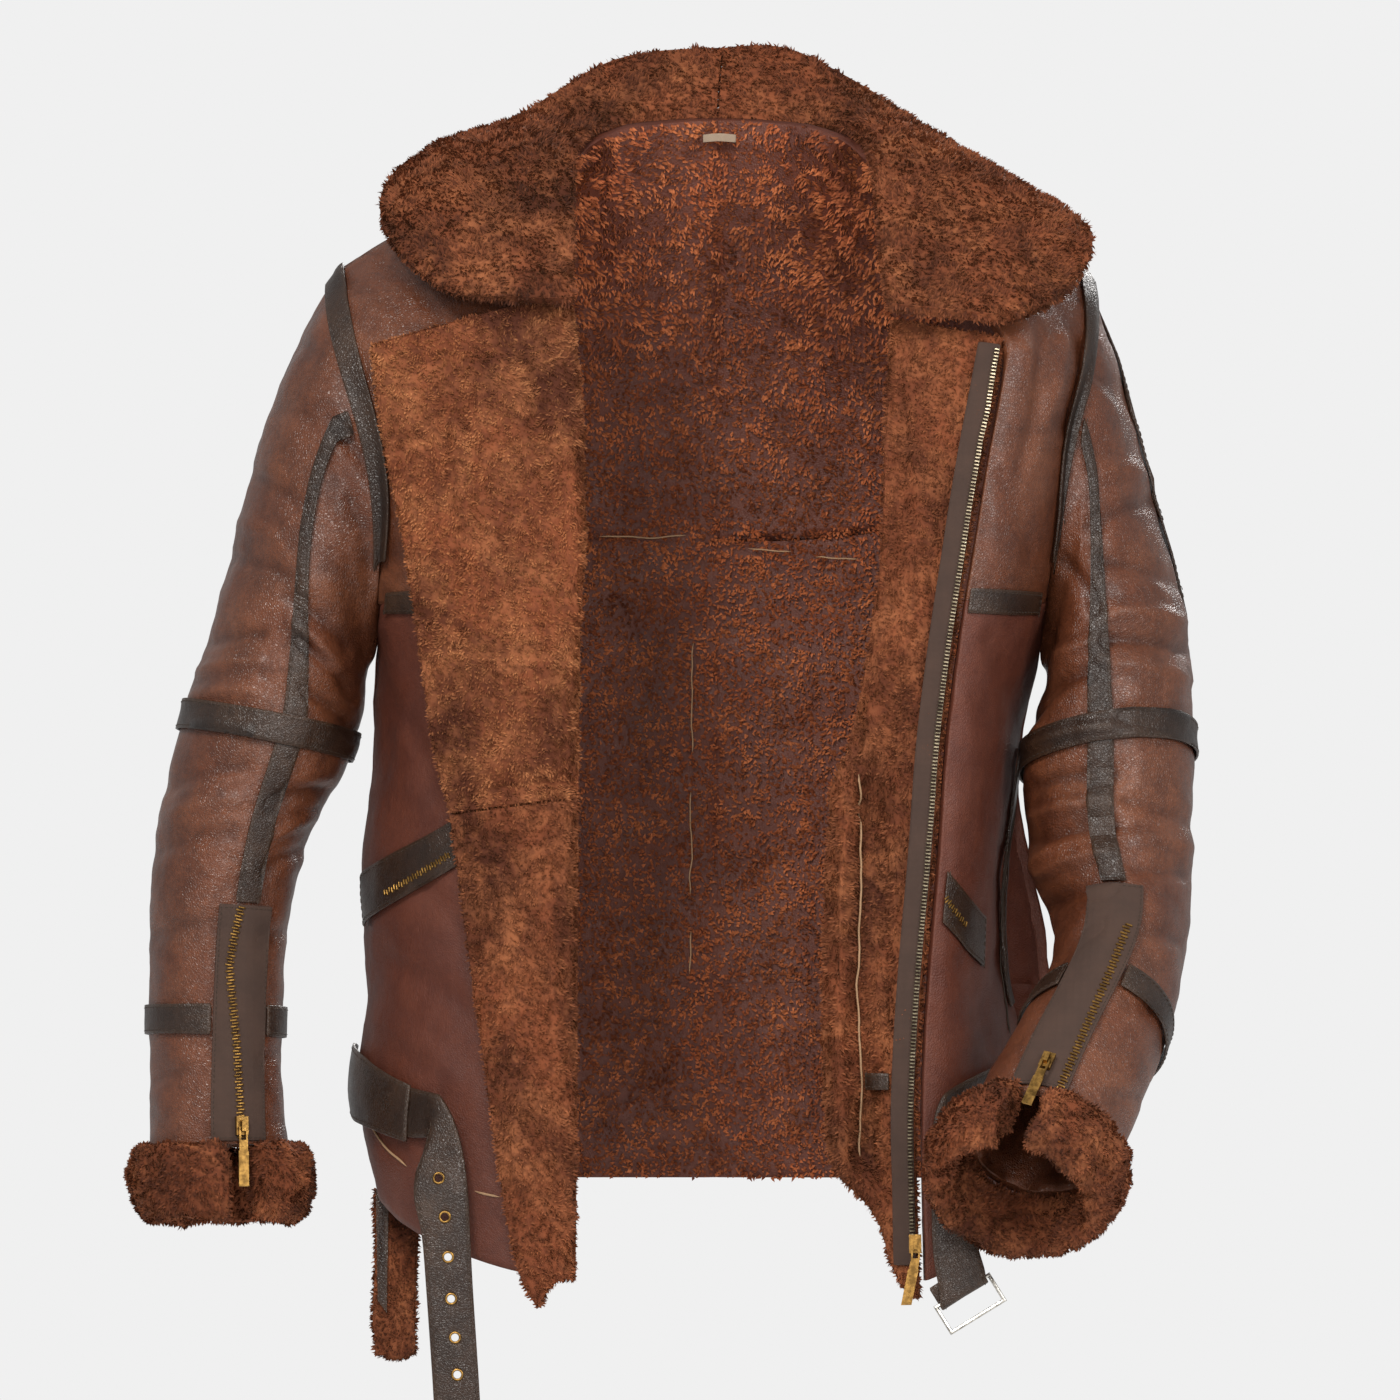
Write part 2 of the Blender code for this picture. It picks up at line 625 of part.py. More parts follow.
def flap_surface():
    """The storm flap's fur side, from the zip (column 0) to its curled inner edge."""
    edge = columns(EDGE_COLUMNS, RIGHT_EDGE)
    points = []
    for row in FLAP:
        line = dict(zip(FLAP_COLUMNS, row))
        x, y = read(edge, "z", ("x", "y"), line["zip_z"])
        start = Vector((x - FLAP_OFF, y + 1, line["zip_z"]))
        end = Vector((line["ix"], y + 0.2 * (x - line["ix"]), line["iz"]))
        section = []
        for j in range(FLAP_STEPS + 1):
            v = (j / FLAP_STEPS) ** mix(1.0, 0.75, line["curl"])
            place = start.lerp(end, v)
            off = place.x - end.x
            wave = (13 * math.exp(-((off - 27) / 6) ** 2) - 9 * math.exp(-((off - 12) / 8) ** 2)
                    + 5 * math.exp(-(off / 4) ** 2))
            place.y += wave * line["curl"]
            section.append(place)
        points.append(section)
    return Surface(points, flip=True)


def start_scene():
    for thing in list(bpy.data.objects):
        bpy.data.objects.remove(thing, do_unlink=True)
    jacket = bpy.data.collections.new("flying_jacket")
    cutters = bpy.data.collections.new("cutters")
    bpy.context.scene.collection.children.link(jacket)
    bpy.context.scene.collection.children.link(cutters)
    return jacket, cutters


def material(kind):
    """A finish, made once and shared by every piece that has it."""
    name, colour, rough = kind
    if name in bpy.data.materials:
        return bpy.data.materials[name]
    made = bpy.data.materials.new(name)
    made.use_nodes = True
    shader = made.node_tree.nodes["Principled BSDF"]
    shader.inputs["Base Color"].default_value = (*colour, 1.0)
    shader.inputs["Roughness"].default_value = rough
    shader.inputs["Metallic"].default_value = 1.0 if name in METALS else 0.0
    made.diffuse_color = (*colour, 1.0)
    return made


def add_object(name, mesh, kind, collection):
    thing = bpy.data.objects.new(name, mesh)
    mesh.materials.append(material(kind))
    collection.objects.link(thing)
    mesh.shade_smooth()
    mesh.set_sharp_from_angle(angle=math.radians(40))
    return thing


def loft(name, outer, inner, kind, collection, flip, closed=False):
    """A closed wall between two grids of points that match; panels on one seam share its rim planes."""
    rows, cols = len(outer), len(outer[0])
    last = cols if closed else cols - 1
    points = [p for grid in (outer, inner) for row in grid for p in row]
    faces = []

    def at(layer, i, k):
        return layer * rows * cols + i * cols + k % cols

    def quad(a, b, c, d):
        faces.extend([(a, b, c), (a, c, d)])

    for i in range(rows - 1):
        for k in range(last):
            quad(at(0, i, k), at(0, i, k + 1), at(0, i + 1, k + 1), at(0, i + 1, k))
            quad(at(1, i + 1, k + 1), at(1, i, k + 1), at(1, i, k), at(1, i + 1, k))
    rims = [[(0, k) for k in range(last, -1, -1)], [(rows - 1, k) for k in range(last + 1)]]
    if not closed:
        rims.append([(i, 0) for i in range(rows)])
        rims.append([(i, cols - 1) for i in range(rows - 1, -1, -1)])
    for rim in rims:
        for (i, k), (m, n) in zip(rim, rim[1:]):
            a, b = at(0, i, k), at(0, m, n)
            c, d = at(1, m, n), at(1, i, k)
            rise = points[b] - points[a]
            if rise.z + 0.37 * rise.x + 0.11 * rise.y > 0:
                faces.extend([(a, b, d), (b, c, d)])
            else:
                faces.extend([(a, b, c), (a, c, d)])
    if flip:
        faces = [face[::-1] for face in faces]
    mesh = bpy.data.meshes.new(name)
    mesh.from_pydata([p * MM for p in points], [], faces)
    mesh.validate()
    return add_object(name, mesh, kind, collection)


def pulled(grid, normals, amounts, closed):
    """The grid with each free or sewn edge drawn in along the cloth, by an amount for each side."""
    first, last, left, right = amounts
    rows = [list(row) for row in grid]
    shift = [[Vector() for _ in row] for row in grid]

    def draw(i, k, m, n, amount):
        step = rows[m][n] - rows[i][k]
        step -= normals[i][k] * step.dot(normals[i][k])
        shift[i][k] += step.normalized() * amount

    for k in range(len(rows[0])):
        draw(0, k, 1, k, first)
        draw(len(rows) - 1, k, len(rows) - 2, k, last)
    if not closed:
        for i in range(len(rows)):
            draw(i, 0, i, 1, left)
            draw(i, len(rows[0]) - 1, i, len(rows[0]) - 2, right)
    return shift


def panel(name, surface, rows, cols, kind, collection, wall=SKIN, grow=-1):
    """Cuts one panel out of a surface and gives it its wall, inwards, or outwards where grow is 1."""
    closed = surface.closed and cols[1] - cols[0] == surface.cols
    range_k = range(cols[0], cols[1] + (0 if closed else 1))
    grid = [[surface.points[i][surface.corner(i, k)[1]] for k in range_k] for i in range(rows[0], rows[1] + 1)]
    normals = [[surface.normals[i][surface.corner(i, k)[1]] for k in range_k]
               for i in range(rows[0], rows[1] + 1)]
    half = SEAM_GAP / 2 + 0.03
    shift = pulled(grid, normals, (half,) * 4, closed)
    near = [[p + s for p, s in zip(row, moves)] for row, moves in zip(grid, shift)]
    far = [[p + n * wall * grow for p, n in zip(row, line)] for row, line in zip(near, normals)]
    outer, inner = (near, far) if grow < 0 else (far, near)
    return loft(name, outer, inner, kind, collection, surface.flip, closed)


def lay(name, grid, outward, thick, kind, collection, closed=False):
    """A strip of leather or cloth: an open grid given its thickness on its outward side."""
    rows, cols = len(grid), len(grid[0])
    i, k = (rows - 1) // 2, (cols - 1) // 2
    look = (grid[i + 1][k + 1] - grid[i][k]).cross(grid[i + 1][k] - grid[i][k + 1])
    faces = []
    for i in range(rows if closed else rows - 1):
        m = (i + 1) % rows
        for k in range(cols - 1):
            face = (i * cols + k, i * cols + k + 1, m * cols + k + 1, m * cols + k)
            faces.append(face if look.dot(outward) > 0 else face[::-1])
    mesh = bpy.data.meshes.new(name)
    mesh.from_pydata([p * MM for row in grid for p in row], [], faces)
    thing = add_object(name, mesh, kind, collection)
    shell = thing.modifiers.new("thickness", "SOLIDIFY")
    shell.thickness = thick * MM
    shell.offset = 1.0
    return thing


def across(surface, i, k, way, width, lift=LIFT, shares=(-1, 0, 1)):
    """Points across a strip that runs the other way, at shares of its half width."""
    row = []
    for share in shares:
        place = surface.reach(i, k, way, share * width / 2) if share else (i, k)
        row.append(surface.at(*place, lift))
    return row


def steps(start, end, size=1.0):
    """From start to end, stopping at every whole multiple of the size between them."""
    sign = 1 if end > start else -1
    stops = [start]
    mark = math.floor(start / size) + (1 if sign > 0 else 0)
    mark = mark if sign > 0 or start / size > mark else mark - 1
    while (mark * size - end) * sign < -0.08 * size:
        if (mark * size - start) * sign > 0.08 * size:
            stops.append(mark * size)
        mark += sign
    return stops + [end]


def rise_over(k, seams, height):
    """How much a ring tape lifts to pass over the seam tapes below it."""
    total = 0.0
    for seam in seams:
        off = abs((k - seam + RING_STATIONS / 2) % RING_STATIONS - RING_STATIONS / 2)
        total = max(total, height * min(max((1.0 - off) / 0.3, 0.0), 1.0))
    return total


def blocks(name, lines, filled, place, kind, collection):
    """A body of the blocks between lines along three ways; place turns those sizes into a point."""
    faces = []
    points = {}

    def corner(*at):
        if at not in points:
            points[at] = len(points)
        return points[at]

    sides = (((1, 0, 0), ((1, 0, 0), (1, 1, 0), (1, 1, 1), (1, 0, 1))),
             ((-1, 0, 0), ((0, 0, 0), (0, 0, 1), (0, 1, 1), (0, 1, 0))),
             ((0, 1, 0), ((0, 1, 0), (0, 1, 1), (1, 1, 1), (1, 1, 0))),
             ((0, -1, 0), ((0, 0, 0), (1, 0, 0), (1, 0, 1), (0, 0, 1))),
             ((0, 0, 1), ((0, 0, 1), (1, 0, 1), (1, 1, 1), (0, 1, 1))),
             ((0, 0, -1), ((0, 0, 0), (0, 1, 0), (1, 1, 0), (1, 0, 0))))
    for cell in filled:
        for way, corners in sides:
            if tuple(c + w for c, w in zip(cell, way)) in filled:
                continue
            faces.append([corner(*(c + d for c, d in zip(cell, offset))) for offset in corners])
    mesh = bpy.data.meshes.new(name)
    mesh.from_pydata([place(lines[0][a], lines[1][b], lines[2][c]) * MM for a, b, c in points], [], faces)
    made = bmesh.new()
    made.from_mesh(mesh)
    bmesh.ops.recalc_face_normals(made, faces=made.faces)
    made.to_mesh(mesh)
    made.free()
    return add_object(name, mesh, kind, collection)


def tube(name, sections, kind, collection, closed=False):
    """A solid through closed sections, capped at both ends, or joined into a ring."""
    count, size = len(sections), len(sections[0])
    faces = []
    for i in range(count if closed else count - 1):
        m = (i + 1) % count
        for k in range(size):
            n = (k + 1) % size
            faces.append((i * size + k, i * size + n, m * size + n, m * size + k))
    if not closed:
        faces.append(tuple(range(size - 1, -1, -1)))
        faces.append(tuple((count - 1) * size + k for k in range(size)))
    mesh = bpy.data.meshes.new(name)
    mesh.from_pydata([p * MM for section in sections for p in section], [], faces)
    made = bmesh.new()
    made.from_mesh(mesh)
    bmesh.ops.recalc_face_normals(made, faces=made.faces)
    made.to_mesh(mesh)
    made.free()
    return add_object(name, mesh, kind, collection)


def make_body(jacket):
    fronts = {"left": front_surface(LEFT_EDGE, -1, TURN_LEFT), "right": front_surface(RIGHT_EDGE, 1, TURN_RIGHT)}
    backs = {"left": back_surface(-1), "right": back_surface(1)}
    sleeves = {"left": sleeve_surface(LEFT_RINGS, -1, LEFT_FOLDS), "right": sleeve_surface(RIGHT_RINGS, 1, RIGHT_FOLDS)}
    share_normals([*fronts.values(), *backs.values()], [*sleeves.values()])
    for side in ("left", "right"):
        front, back, sleeve = fronts[side], backs[side], sleeves[side]
        wide = (0, NECK_COLUMNS + SHOULDER_COLUMNS)
        panel("back_lower_" + side, back, (0, LOW_ROW), wide, MATT, jacket)
        panel("back_middle_" + side, back, (LOW_ROW, CROSS_ROW), wide, MATT, jacket)
        panel("back_upper_" + side, back, (CROSS_ROW, TOP_ROW), wide, MATT, jacket)
        panel(f"front_{side}_lower", front, (0, CHEST_ROW), (0, SHOULDER_COLUMNS), MATT, jacket)
        panel(f"front_{side}_upper", front, (CHEST_ROW, TOP_ROW), (0, SHOULDER_COLUMNS), LEATHER, jacket)
        for level, rows in (("upper", (0, ELBOW_RING)), ("lower", (ELBOW_RING, CUFF_RING))):
            panel(f"sleeve_{side}_{level}_inner", sleeve, rows, (FRONT_SEAM, BACK_SEAM), LEATHER, jacket)
            panel(f"sleeve_{side}_{level}_outer", sleeve, rows,
                  (BACK_SEAM, RING_STATIONS + FRONT_SEAM), LEATHER, jacket)
    return fronts, backs, sleeves


def make_fur_fronts(jacket, left_front):
    lapel, flap, collar = lapel_surface(left_front), flap_surface(), collar_surface()
    share_normals([lapel])
    share_normals([flap])
    share_normals([collar])
    last = lapel.cols - 1
    panel("lapel_lower", lapel, (0, LAPEL_SEAM), (0, last), FUR, jacket, grow=1)
    panel("lapel_upper", lapel, (LAPEL_SEAM, lapel.rows - 1), (0, last), FUR, jacket, grow=1)
    panel("storm_flap", flap, (0, flap.rows - 1), (0, FLAP_STEPS), FUR, jacket, wall=FLAP_SKIN)
    panel("collar_left", collar, (0, COLLAR_MIDDLE), (0, COLLAR_STEPS), FUR, jacket, wall=COLLAR_SKIN)
    panel("collar_right", collar, (COLLAR_MIDDLE, collar.rows - 1), (0, COLLAR_STEPS), FUR, jacket,
          wall=COLLAR_SKIN)
    return lapel, flap, collar


def make_sleeve_trim(jacket, side, sleeve, front, back):
    """The tapes, the placket, its zip slider and pull, and the fur cuff of one sleeve."""
    name = "left" if side < 0 else "right"
    outward = Vector((side, -0.4, 0.1))
    seams = (FRONT_SEAM, BACK_SEAM)

    grid = []
    for station in steps(7, -7):
        body = front if station >= 0 else back
        body_row, body_col = float(TOP_ROW - abs(station)), float(body.cols - 1)
        on_body = body.reach(body_row, body_col, "k", -TAPE_WIDE / 2)
        on_sleeve = sleeve.reach(0, station, "i", TAPE_WIDE / 2)
        grid.append([body.at(*on_body, ARM_LIFT), sleeve.at(0, station, ARM_LIFT),
                     sleeve.at(*on_sleeve, ARM_LIFT)])
    lay("tape_armhole_" + name, grid, outward, TAPE, TRIM, jacket)

    for label, station, end in (("front", FRONT_SEAM, PLACKET_RING - 0.1), ("back", BACK_SEAM, CUFF_RING - 0.1)):
        start = sleeve.reach(0, station, "i", TAPE_WIDE / 2 + 3)[0]
        grid = [across(sleeve, i, station, "k", TAPE_WIDE, SEAM_LIFT) for i in steps(start, end)]
        look = sleeve.normals[ELBOW_RING][station]
        lay(f"tape_{label}_seam_{name}", grid, look, TAPE, TRIM, jacket)

    stops = sorted({*range(RING_STATIONS), *(seam + off for seam in seams for off in (-1.25, -0.7, 0.7, 1.25))})
    grid = [across(sleeve, ELBOW_RING, k, "i", RING_WIDE, RING_LIFT + rise_over(k, seams, TAPE + 0.4))
            for k in stops]
    middle = (len(grid) - 1) // 2
    look = sleeve.normals[ELBOW_RING][int(round(stops[middle])) % RING_STATIONS]
    lay("tape_elbow_" + name, grid, look, TAPE, TRIM, jacket, closed=True)

    ring = FOREARM_RINGS[name]
    start = sleeve.reach(ring, FRONT_SEAM, "k", PLACKET_WIDE / 2 + 1)[1]
    end = sleeve.reach(ring, FRONT_SEAM, "k", -PLACKET_WIDE / 2 - 1)[1] + RING_STATIONS
    stops = sorted({start, end, *(k for k in range(RING_STATIONS + FRONT_SEAM) if start + 0.1 < k < end - 0.1),
                    *(BACK_SEAM + off for off in (-1.25, -0.7, 0.7, 1.25))})
    grid = [across(sleeve, ring, k, "i", RING_WIDE, RING_LIFT + rise_over(k, (BACK_SEAM,), TAPE + 0.4))
            for k in stops]
    look = sleeve.normals[int(ring)][int(stops[(len(grid) - 1) // 2]) % RING_STATIONS]
    lay("tape_forearm_" + name, grid, look, TAPE, TRIM, jacket)

    shares = (-1, -0.9, -0.45, 0, 0.45, 0.9, 1)
    grid = [across(sleeve, i, FRONT_SEAM, "k", PLACKET_WIDE, LIFT, shares)
            for i in steps(PLACKET_RING, CUFF_RING - 0.12)]
    lay("cuff_placket_" + name, grid, sleeve.normals[ELBOW_RING][FRONT_SEAM], TAPE, TAPE_CLOTH, jacket)

    ring = CUFF_RING - 0.75
    top = LIFT + TAPE + 0.35
    foot = sleeve.at(ring, FRONT_SEAM, top)
    along = (sleeve.at(CUFF_RING, FRONT_SEAM) - sleeve.at(CUFF_RING - 2, FRONT_SEAM)).normalized()
    off = sleeve.normals[CUFF_RING - 1][FRONT_SEAM]
    off = (off - along * off.dot(along)).normalized()
    make_slider(jacket, "cuff", "_" + name, foot, along, off, BRASS, 0)

    centre = sum(sleeve.points[CUFF_RING], Vector()) / RING_STATIONS
    before = sum(sleeve.points[CUFF_RING - 2], Vector()) / RING_STATIONS
    along = (centre - before).normalized()
    start = sleeve.reach(CUFF_RING, FRONT_SEAM, "k", CUFF_PARTING)[1]
    end = sleeve.reach(CUFF_RING, FRONT_SEAM, "k", -CUFF_PARTING)[1] + RING_STATIONS
    sections = []
    for k in steps(start, end):
        rim = sleeve.at(CUFF_RING, k)
        radial = sleeve.at(CUFF_RING, k, 1.0) - rim
        radial = (radial - along * radial.dot(along)).normalized()
        sections.append([rim + radial * r + along * a for r, a in CUFF_SECTION])
    tube("cuff_fur_" + name, sections, FUR, jacket)


def make_slider(jacket, prefix, suffix, foot, along, off, kind, slant):
    """A zip slider with its bridge, and the pull whose eye hangs under the bridge."""
    side = along.cross(off).normalized()
    base = {(a, b, 0) for a in range(5) for b in range(3)}
    bridge = {(1, 1, 1), (3, 1, 1), (1, 1, 2), (2, 1, 2), (3, 1, 2)}
    blocks(prefix + "_slider" + suffix, SLIDER_LINES, base | bridge,
           lambda s, a, h: foot + along * s + side * a + off * h, kind, jacket)
    eye = {(0, b, 0) for b in (1, 2, 3)} | {(1, b, 0) for b in (1, 3)}
    tab = {(2, b, 0) for b in (1, 2, 3)} | {(3, b, 0) for b in range(5)}
    blocks(prefix + "_pull" + suffix, PULL_LINES, eye | tab,
           lambda s, a, h: (foot + along * (s + PULL_ALONG) + side * (a + slant * max(s - 8, 0))
                            + off * (h + PULL_OFF)), kind, jacket)


def make_body_trim(jacket, fronts, backs, lapel, flap):
    """Tapes, pocket welts and zip tapes that lie on the body."""
    ahead = Vector((0, -1, 0))
    grid = [across(fronts["left"], CHEST_ROW, k, "i", TAPE_WIDE) for k in steps(1.6, CHEST_ENDS["left"])]
    lay("tape_chest_left", grid, ahead, TAPE, TRIM, jacket)
    grid = [across(fronts["right"], CHEST_ROW, k, "i", TAPE_WIDE) for k in steps(0.15, CHEST_ENDS["right"])]
    lay("tape_chest_right", grid, ahead, TAPE, TRIM, jacket)

    grid = [across(backs["left"], CROSS_ROW, k, "i", TAPE_WIDE) for k in steps(CROSS_ENDS["left"], 0.0)]
    grid += [across(backs["right"], CROSS_ROW, k, "i", TAPE_WIDE) for k in steps(0.0, CROSS_ENDS["right"])][1:]
    lay("tape_back_cross", grid, -ahead, TAPE, TRIM, jacket)
    grid = []
    for i in steps(LOW_ROW - 1.0, CROSS_ROW - 0.55):
        grid.append([backs["left"].at(*backs["left"].reach(i, 0, "k", TAPE_WIDE / 2), LIFT),
                     backs["left"].at(i, 0, LIFT),
                     backs["right"].at(*backs["right"].reach(i, 0, "k", TAPE_WIDE / 2), LIFT)])
    lay("tape_back_centre", grid, -ahead, TAPE, TRIM, jacket)

    front = fronts["right"]
    grid = []
    for i in steps(VENT_ROWS[0], VENT_ROWS[1]):
        grid.append([front.at(*front.reach(i, 7.0, "k", -off), LIFT) for off in (12.5, 6.5, 0.5)])
    lay("tape_vent_right", grid, Vector((1, -0.5, 0)), TAPE, TRIM, jacket)

    for side, line in WELTS.items():
        front = fronts[side]
        grid = [across(front, front.row_at(z, k), k, "i", WELT_TALL) for k, z in line]
        lay("pocket_welt_" + side, grid, ahead, TAPE, TRIM, jacket)

    grid = [across(flap, *flap.reach(i, 0, "k", 0.6 + ZIP_TAPE_WIDE / 2), "k", ZIP_TAPE_WIDE, ZIP_LIFT)
            for i in range(1, flap.rows)]
    lay("zip_tape_right", grid, ahead, ZIP_TAPE, TAPE_CLOTH, jacket)
    last = lapel.cols - 1
    grid = [across(lapel, *lapel.reach(i, last, "k", -1.0 - ZIP_TAPE_WIDE / 2), "k", ZIP_TAPE_WIDE, -LIFT)
            for i in range(2, lapel.rows)]
    lay("zip_tape_left", grid, -ahead, ZIP_TAPE, TAPE_CLOTH, jacket)

    foot = flap.at(*flap.where(*ZIP_SLIDER), ZIP_LIFT + ZIP_TAPE + 0.35)
    make_slider(jacket, "zip", "", foot, Vector((0.02, 0, -1)).normalized(), Vector((0, -1, 0)), BRASS, 0.22)

    grid = [[flap.at(*flap.where(x, z), LIFT) for z in KEEPER_Z] for x in KEEPER_X]
    lay("flap_keeper", grid, ahead, 2.0, TRIM, jacket)


def strap_rows(rows):
    return [[Vector(row[:3]), (Vector(row[:3]) + Vector(row[3:])) / 2, Vector(row[3:])] for row in rows]


def make_belt(jacket, cutters, fronts, backs):
    """The belt in one length: free end, round the back, and its buckle end with the frame."""
    ahead = Vector((0, -1, 0))
    grid = list(reversed(strap_rows(BELT_END)))
    band = [(fronts["left"], fronts["left"].row_at(z, k), k) for k, z in LEFT_BAND]
    band += [(backs["left"], 2.0, float(k)) for k in range(9, -1, -1)]
    band += [(backs["right"], 2.0, float(k)) for k in range(1, 11)]
    band += [(fronts["right"], fronts["right"].row_at(z, k), k) for k, z in RIGHT_BAND]
    for surface, i, k in band:
        grid.append(list(reversed(across(surface, i, k, "i", BELT_WIDE, BELT_LIFT))))
    grid += strap_rows(BUCKLE_END)

    low, high = (Vector(p) for p in FRAME_BAR)
    bar = (high - low).normalized()
    off = Vector((0, -1, 0))
    down = bar.cross(off)
    down = -down if down.z > 0 else down
    middle = (low + high) / 2
    inset = (high - low).length / 2 - WIRE - 1.2

    def curl(ahead_by, down_by):
        place = middle + off * ahead_by + down * down_by
        return [place - bar * inset, place, place + bar * inset]

    for n in range(7):
        turn = math.pi * n / 6
        grid.append(curl(CURL * math.cos(turn), CURL * math.sin(turn)))
    grid.append(curl(-CURL * 0.7, -2.5))
    grid.append(curl(-CURL * 0.1, -6))
    grid.append(curl(-CURL * 0.1, -13))
    belt = lay("belt", grid, -ahead, BELT, TRIM, jacket)

    make_cutter(cutters)
    holes = belt.modifiers.new("eyelets", "BOOLEAN")
    holes.operation = "DIFFERENCE"
    holes.solver = "EXACT"
    holes.object = bpy.data.objects["eyelet_cutter"]

    corners = [low, high, high + down * FRAME_DEPTH, low + down * FRAME_DEPTH]
    sections = []
    for n, corner in enumerate(corners):
        before, after = corners[n - 1], corners[(n + 1) % 4]
        inwards = ((before - corner).normalized() + (after - corner).normalized()).normalized() * math.sqrt(2)
        sections.append([corner + inwards * WIRE * math.cos(a) + off * WIRE * math.sin(a)
                         for a in (math.pi * m / 4 for m in range(8))])
    tube("buckle_frame", sections, STEEL, jacket, closed=True)

    grid = []
    for surface, i, k, tall in loop_stations(fronts["left"], backs["left"]):
        grid.append(across(surface, i, k, "i", tall, BELT_LIFT + BELT + 0.5))
    lay("belt_loop", grid, Vector((-1, -0.3, 0)), 1.8, TRIM, jacket)


def loop_stations(front, back):
    """Where the wide loop lies over the belt, from behind the side seam to the front."""
    stations = [(back, 2.0, 9.0, 40.0), (back, 2.0, 9.5, 44.0)]
    return stations + [(front, front.row_at(z, k), k, tall) for k, z, tall in LOOP_FRONT]


def make_cutter(cutters):
    """Six round cutters for the belt's eyelets, as one mesh."""
    points, faces = [], []
    sides = 12
    for x, z in EYELETS:
        first = len(points)
        for y in (-150, -100):
            points += [Vector((x + EYELET_RADIUS * math.cos(2 * math.pi * n / sides), y,
                               z + EYELET_RADIUS * math.sin(2 * math.pi * n / sides))) for n in range(sides)]
        for n in range(sides):
            m = (n + 1) % sides
            faces.append((first + n, first + m, first + sides + m, first + sides + n))
        faces.append(tuple(first + n for n in range(sides - 1, -1, -1)))
        faces.append(tuple(first + sides + n for n in range(sides)))
    mesh = bpy.data.meshes.new("eyelet_cutter")
    mesh.from_pydata([p * MM for p in points], [], faces)
    made = bmesh.new()
    made.from_mesh(mesh)
    bmesh.ops.recalc_face_normals(made, faces=made.faces)
    made.to_mesh(mesh)
    made.free()
    cutter = bpy.data.objects.new("eyelet_cutter", mesh)
    cutter.hide_render = True
    cutter.display_type = "WIRE"
    cutters.objects.link(cutter)


def make_small_pieces(jacket):
    """The fur tab at the left hem, and the hang loop at the neck."""
    sections = [[Vector((x, y, z)) for x, z in TAB_OUTLINE] for y in TAB_Y]
    tube("fur_tab", sections, FUR, jacket)
    grid = [[Vector((x, y, z + 2.6)), Vector((x, y, z)), Vector((x, y, z - 2.6))] for x, y, z in HANG_LOOP]
    lay("hang_loop", grid, Vector((0, -1, 0)), 1.0, LOOP_CLOTH, jacket)


jacket, cutters = start_scene()
fronts, backs, sleeves = make_body(jacket)
lapel, flap, collar = make_fur_fronts(jacket, fronts["left"])
for side, name in ((-1, "left"), (1, "right")):
    make_sleeve_trim(jacket, side, sleeves[name], fronts[name], backs[name])
make_body_trim(jacket, fronts, backs, lapel, flap)
make_belt(jacket, cutters, fronts, backs)
make_small_pieces(jacket)
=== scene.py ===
# %% [markdown]
# A sheepskin flying jacket, standing open as if worn.
# The packed CAD model gives every panel its place and form. This script turns those plain walls
# into leather on one side and clipped fleece on the other, then adds what is too fine for the CAD:
# creases, pile, stitches, zip teeth and eyelets.

# %% Start from the packed frame
import math

import bmesh
import bpy
import numpy as np
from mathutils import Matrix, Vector
from mathutils.bvhtree import BVHTree


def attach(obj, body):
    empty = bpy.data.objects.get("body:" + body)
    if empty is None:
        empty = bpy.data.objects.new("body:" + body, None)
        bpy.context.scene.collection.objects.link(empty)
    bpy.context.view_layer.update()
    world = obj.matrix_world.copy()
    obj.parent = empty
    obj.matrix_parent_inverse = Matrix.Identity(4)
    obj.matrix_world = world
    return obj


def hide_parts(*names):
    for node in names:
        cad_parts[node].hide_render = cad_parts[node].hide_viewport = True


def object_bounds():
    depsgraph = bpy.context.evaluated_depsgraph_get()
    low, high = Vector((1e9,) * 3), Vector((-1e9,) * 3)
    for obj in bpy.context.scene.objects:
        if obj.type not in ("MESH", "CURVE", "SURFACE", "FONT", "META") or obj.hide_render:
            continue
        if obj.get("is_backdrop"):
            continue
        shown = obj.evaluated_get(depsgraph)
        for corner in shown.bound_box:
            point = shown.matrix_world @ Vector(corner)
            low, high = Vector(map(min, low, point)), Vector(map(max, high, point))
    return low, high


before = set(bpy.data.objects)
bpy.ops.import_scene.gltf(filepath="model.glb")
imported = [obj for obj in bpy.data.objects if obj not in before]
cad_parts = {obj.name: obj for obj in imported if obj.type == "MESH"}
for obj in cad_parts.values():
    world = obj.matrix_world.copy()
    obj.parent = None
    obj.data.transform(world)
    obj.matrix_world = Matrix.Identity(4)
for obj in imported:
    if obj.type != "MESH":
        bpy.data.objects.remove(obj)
cad_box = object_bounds()
rng = np.random.default_rng(7)
MM = 0.001
PIXEL = 0.65  # millimetres of the jacket for one pixel of the photo
print("nodes", len(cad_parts), "box", [round(v, 3) for v in (*cad_box[0], *cad_box[1])])


def photo(px, py):
    """The jacket's x and z, in metres, at a pixel of the photo."""
    return (px - 705) * PIXEL * MM, (215 - py) * PIXEL * MM


# %% [markdown]
# The camera stands straight in front and far away with a long lens, as product photos of clothes
# are taken: near lenses would make the forward sleeve too big.

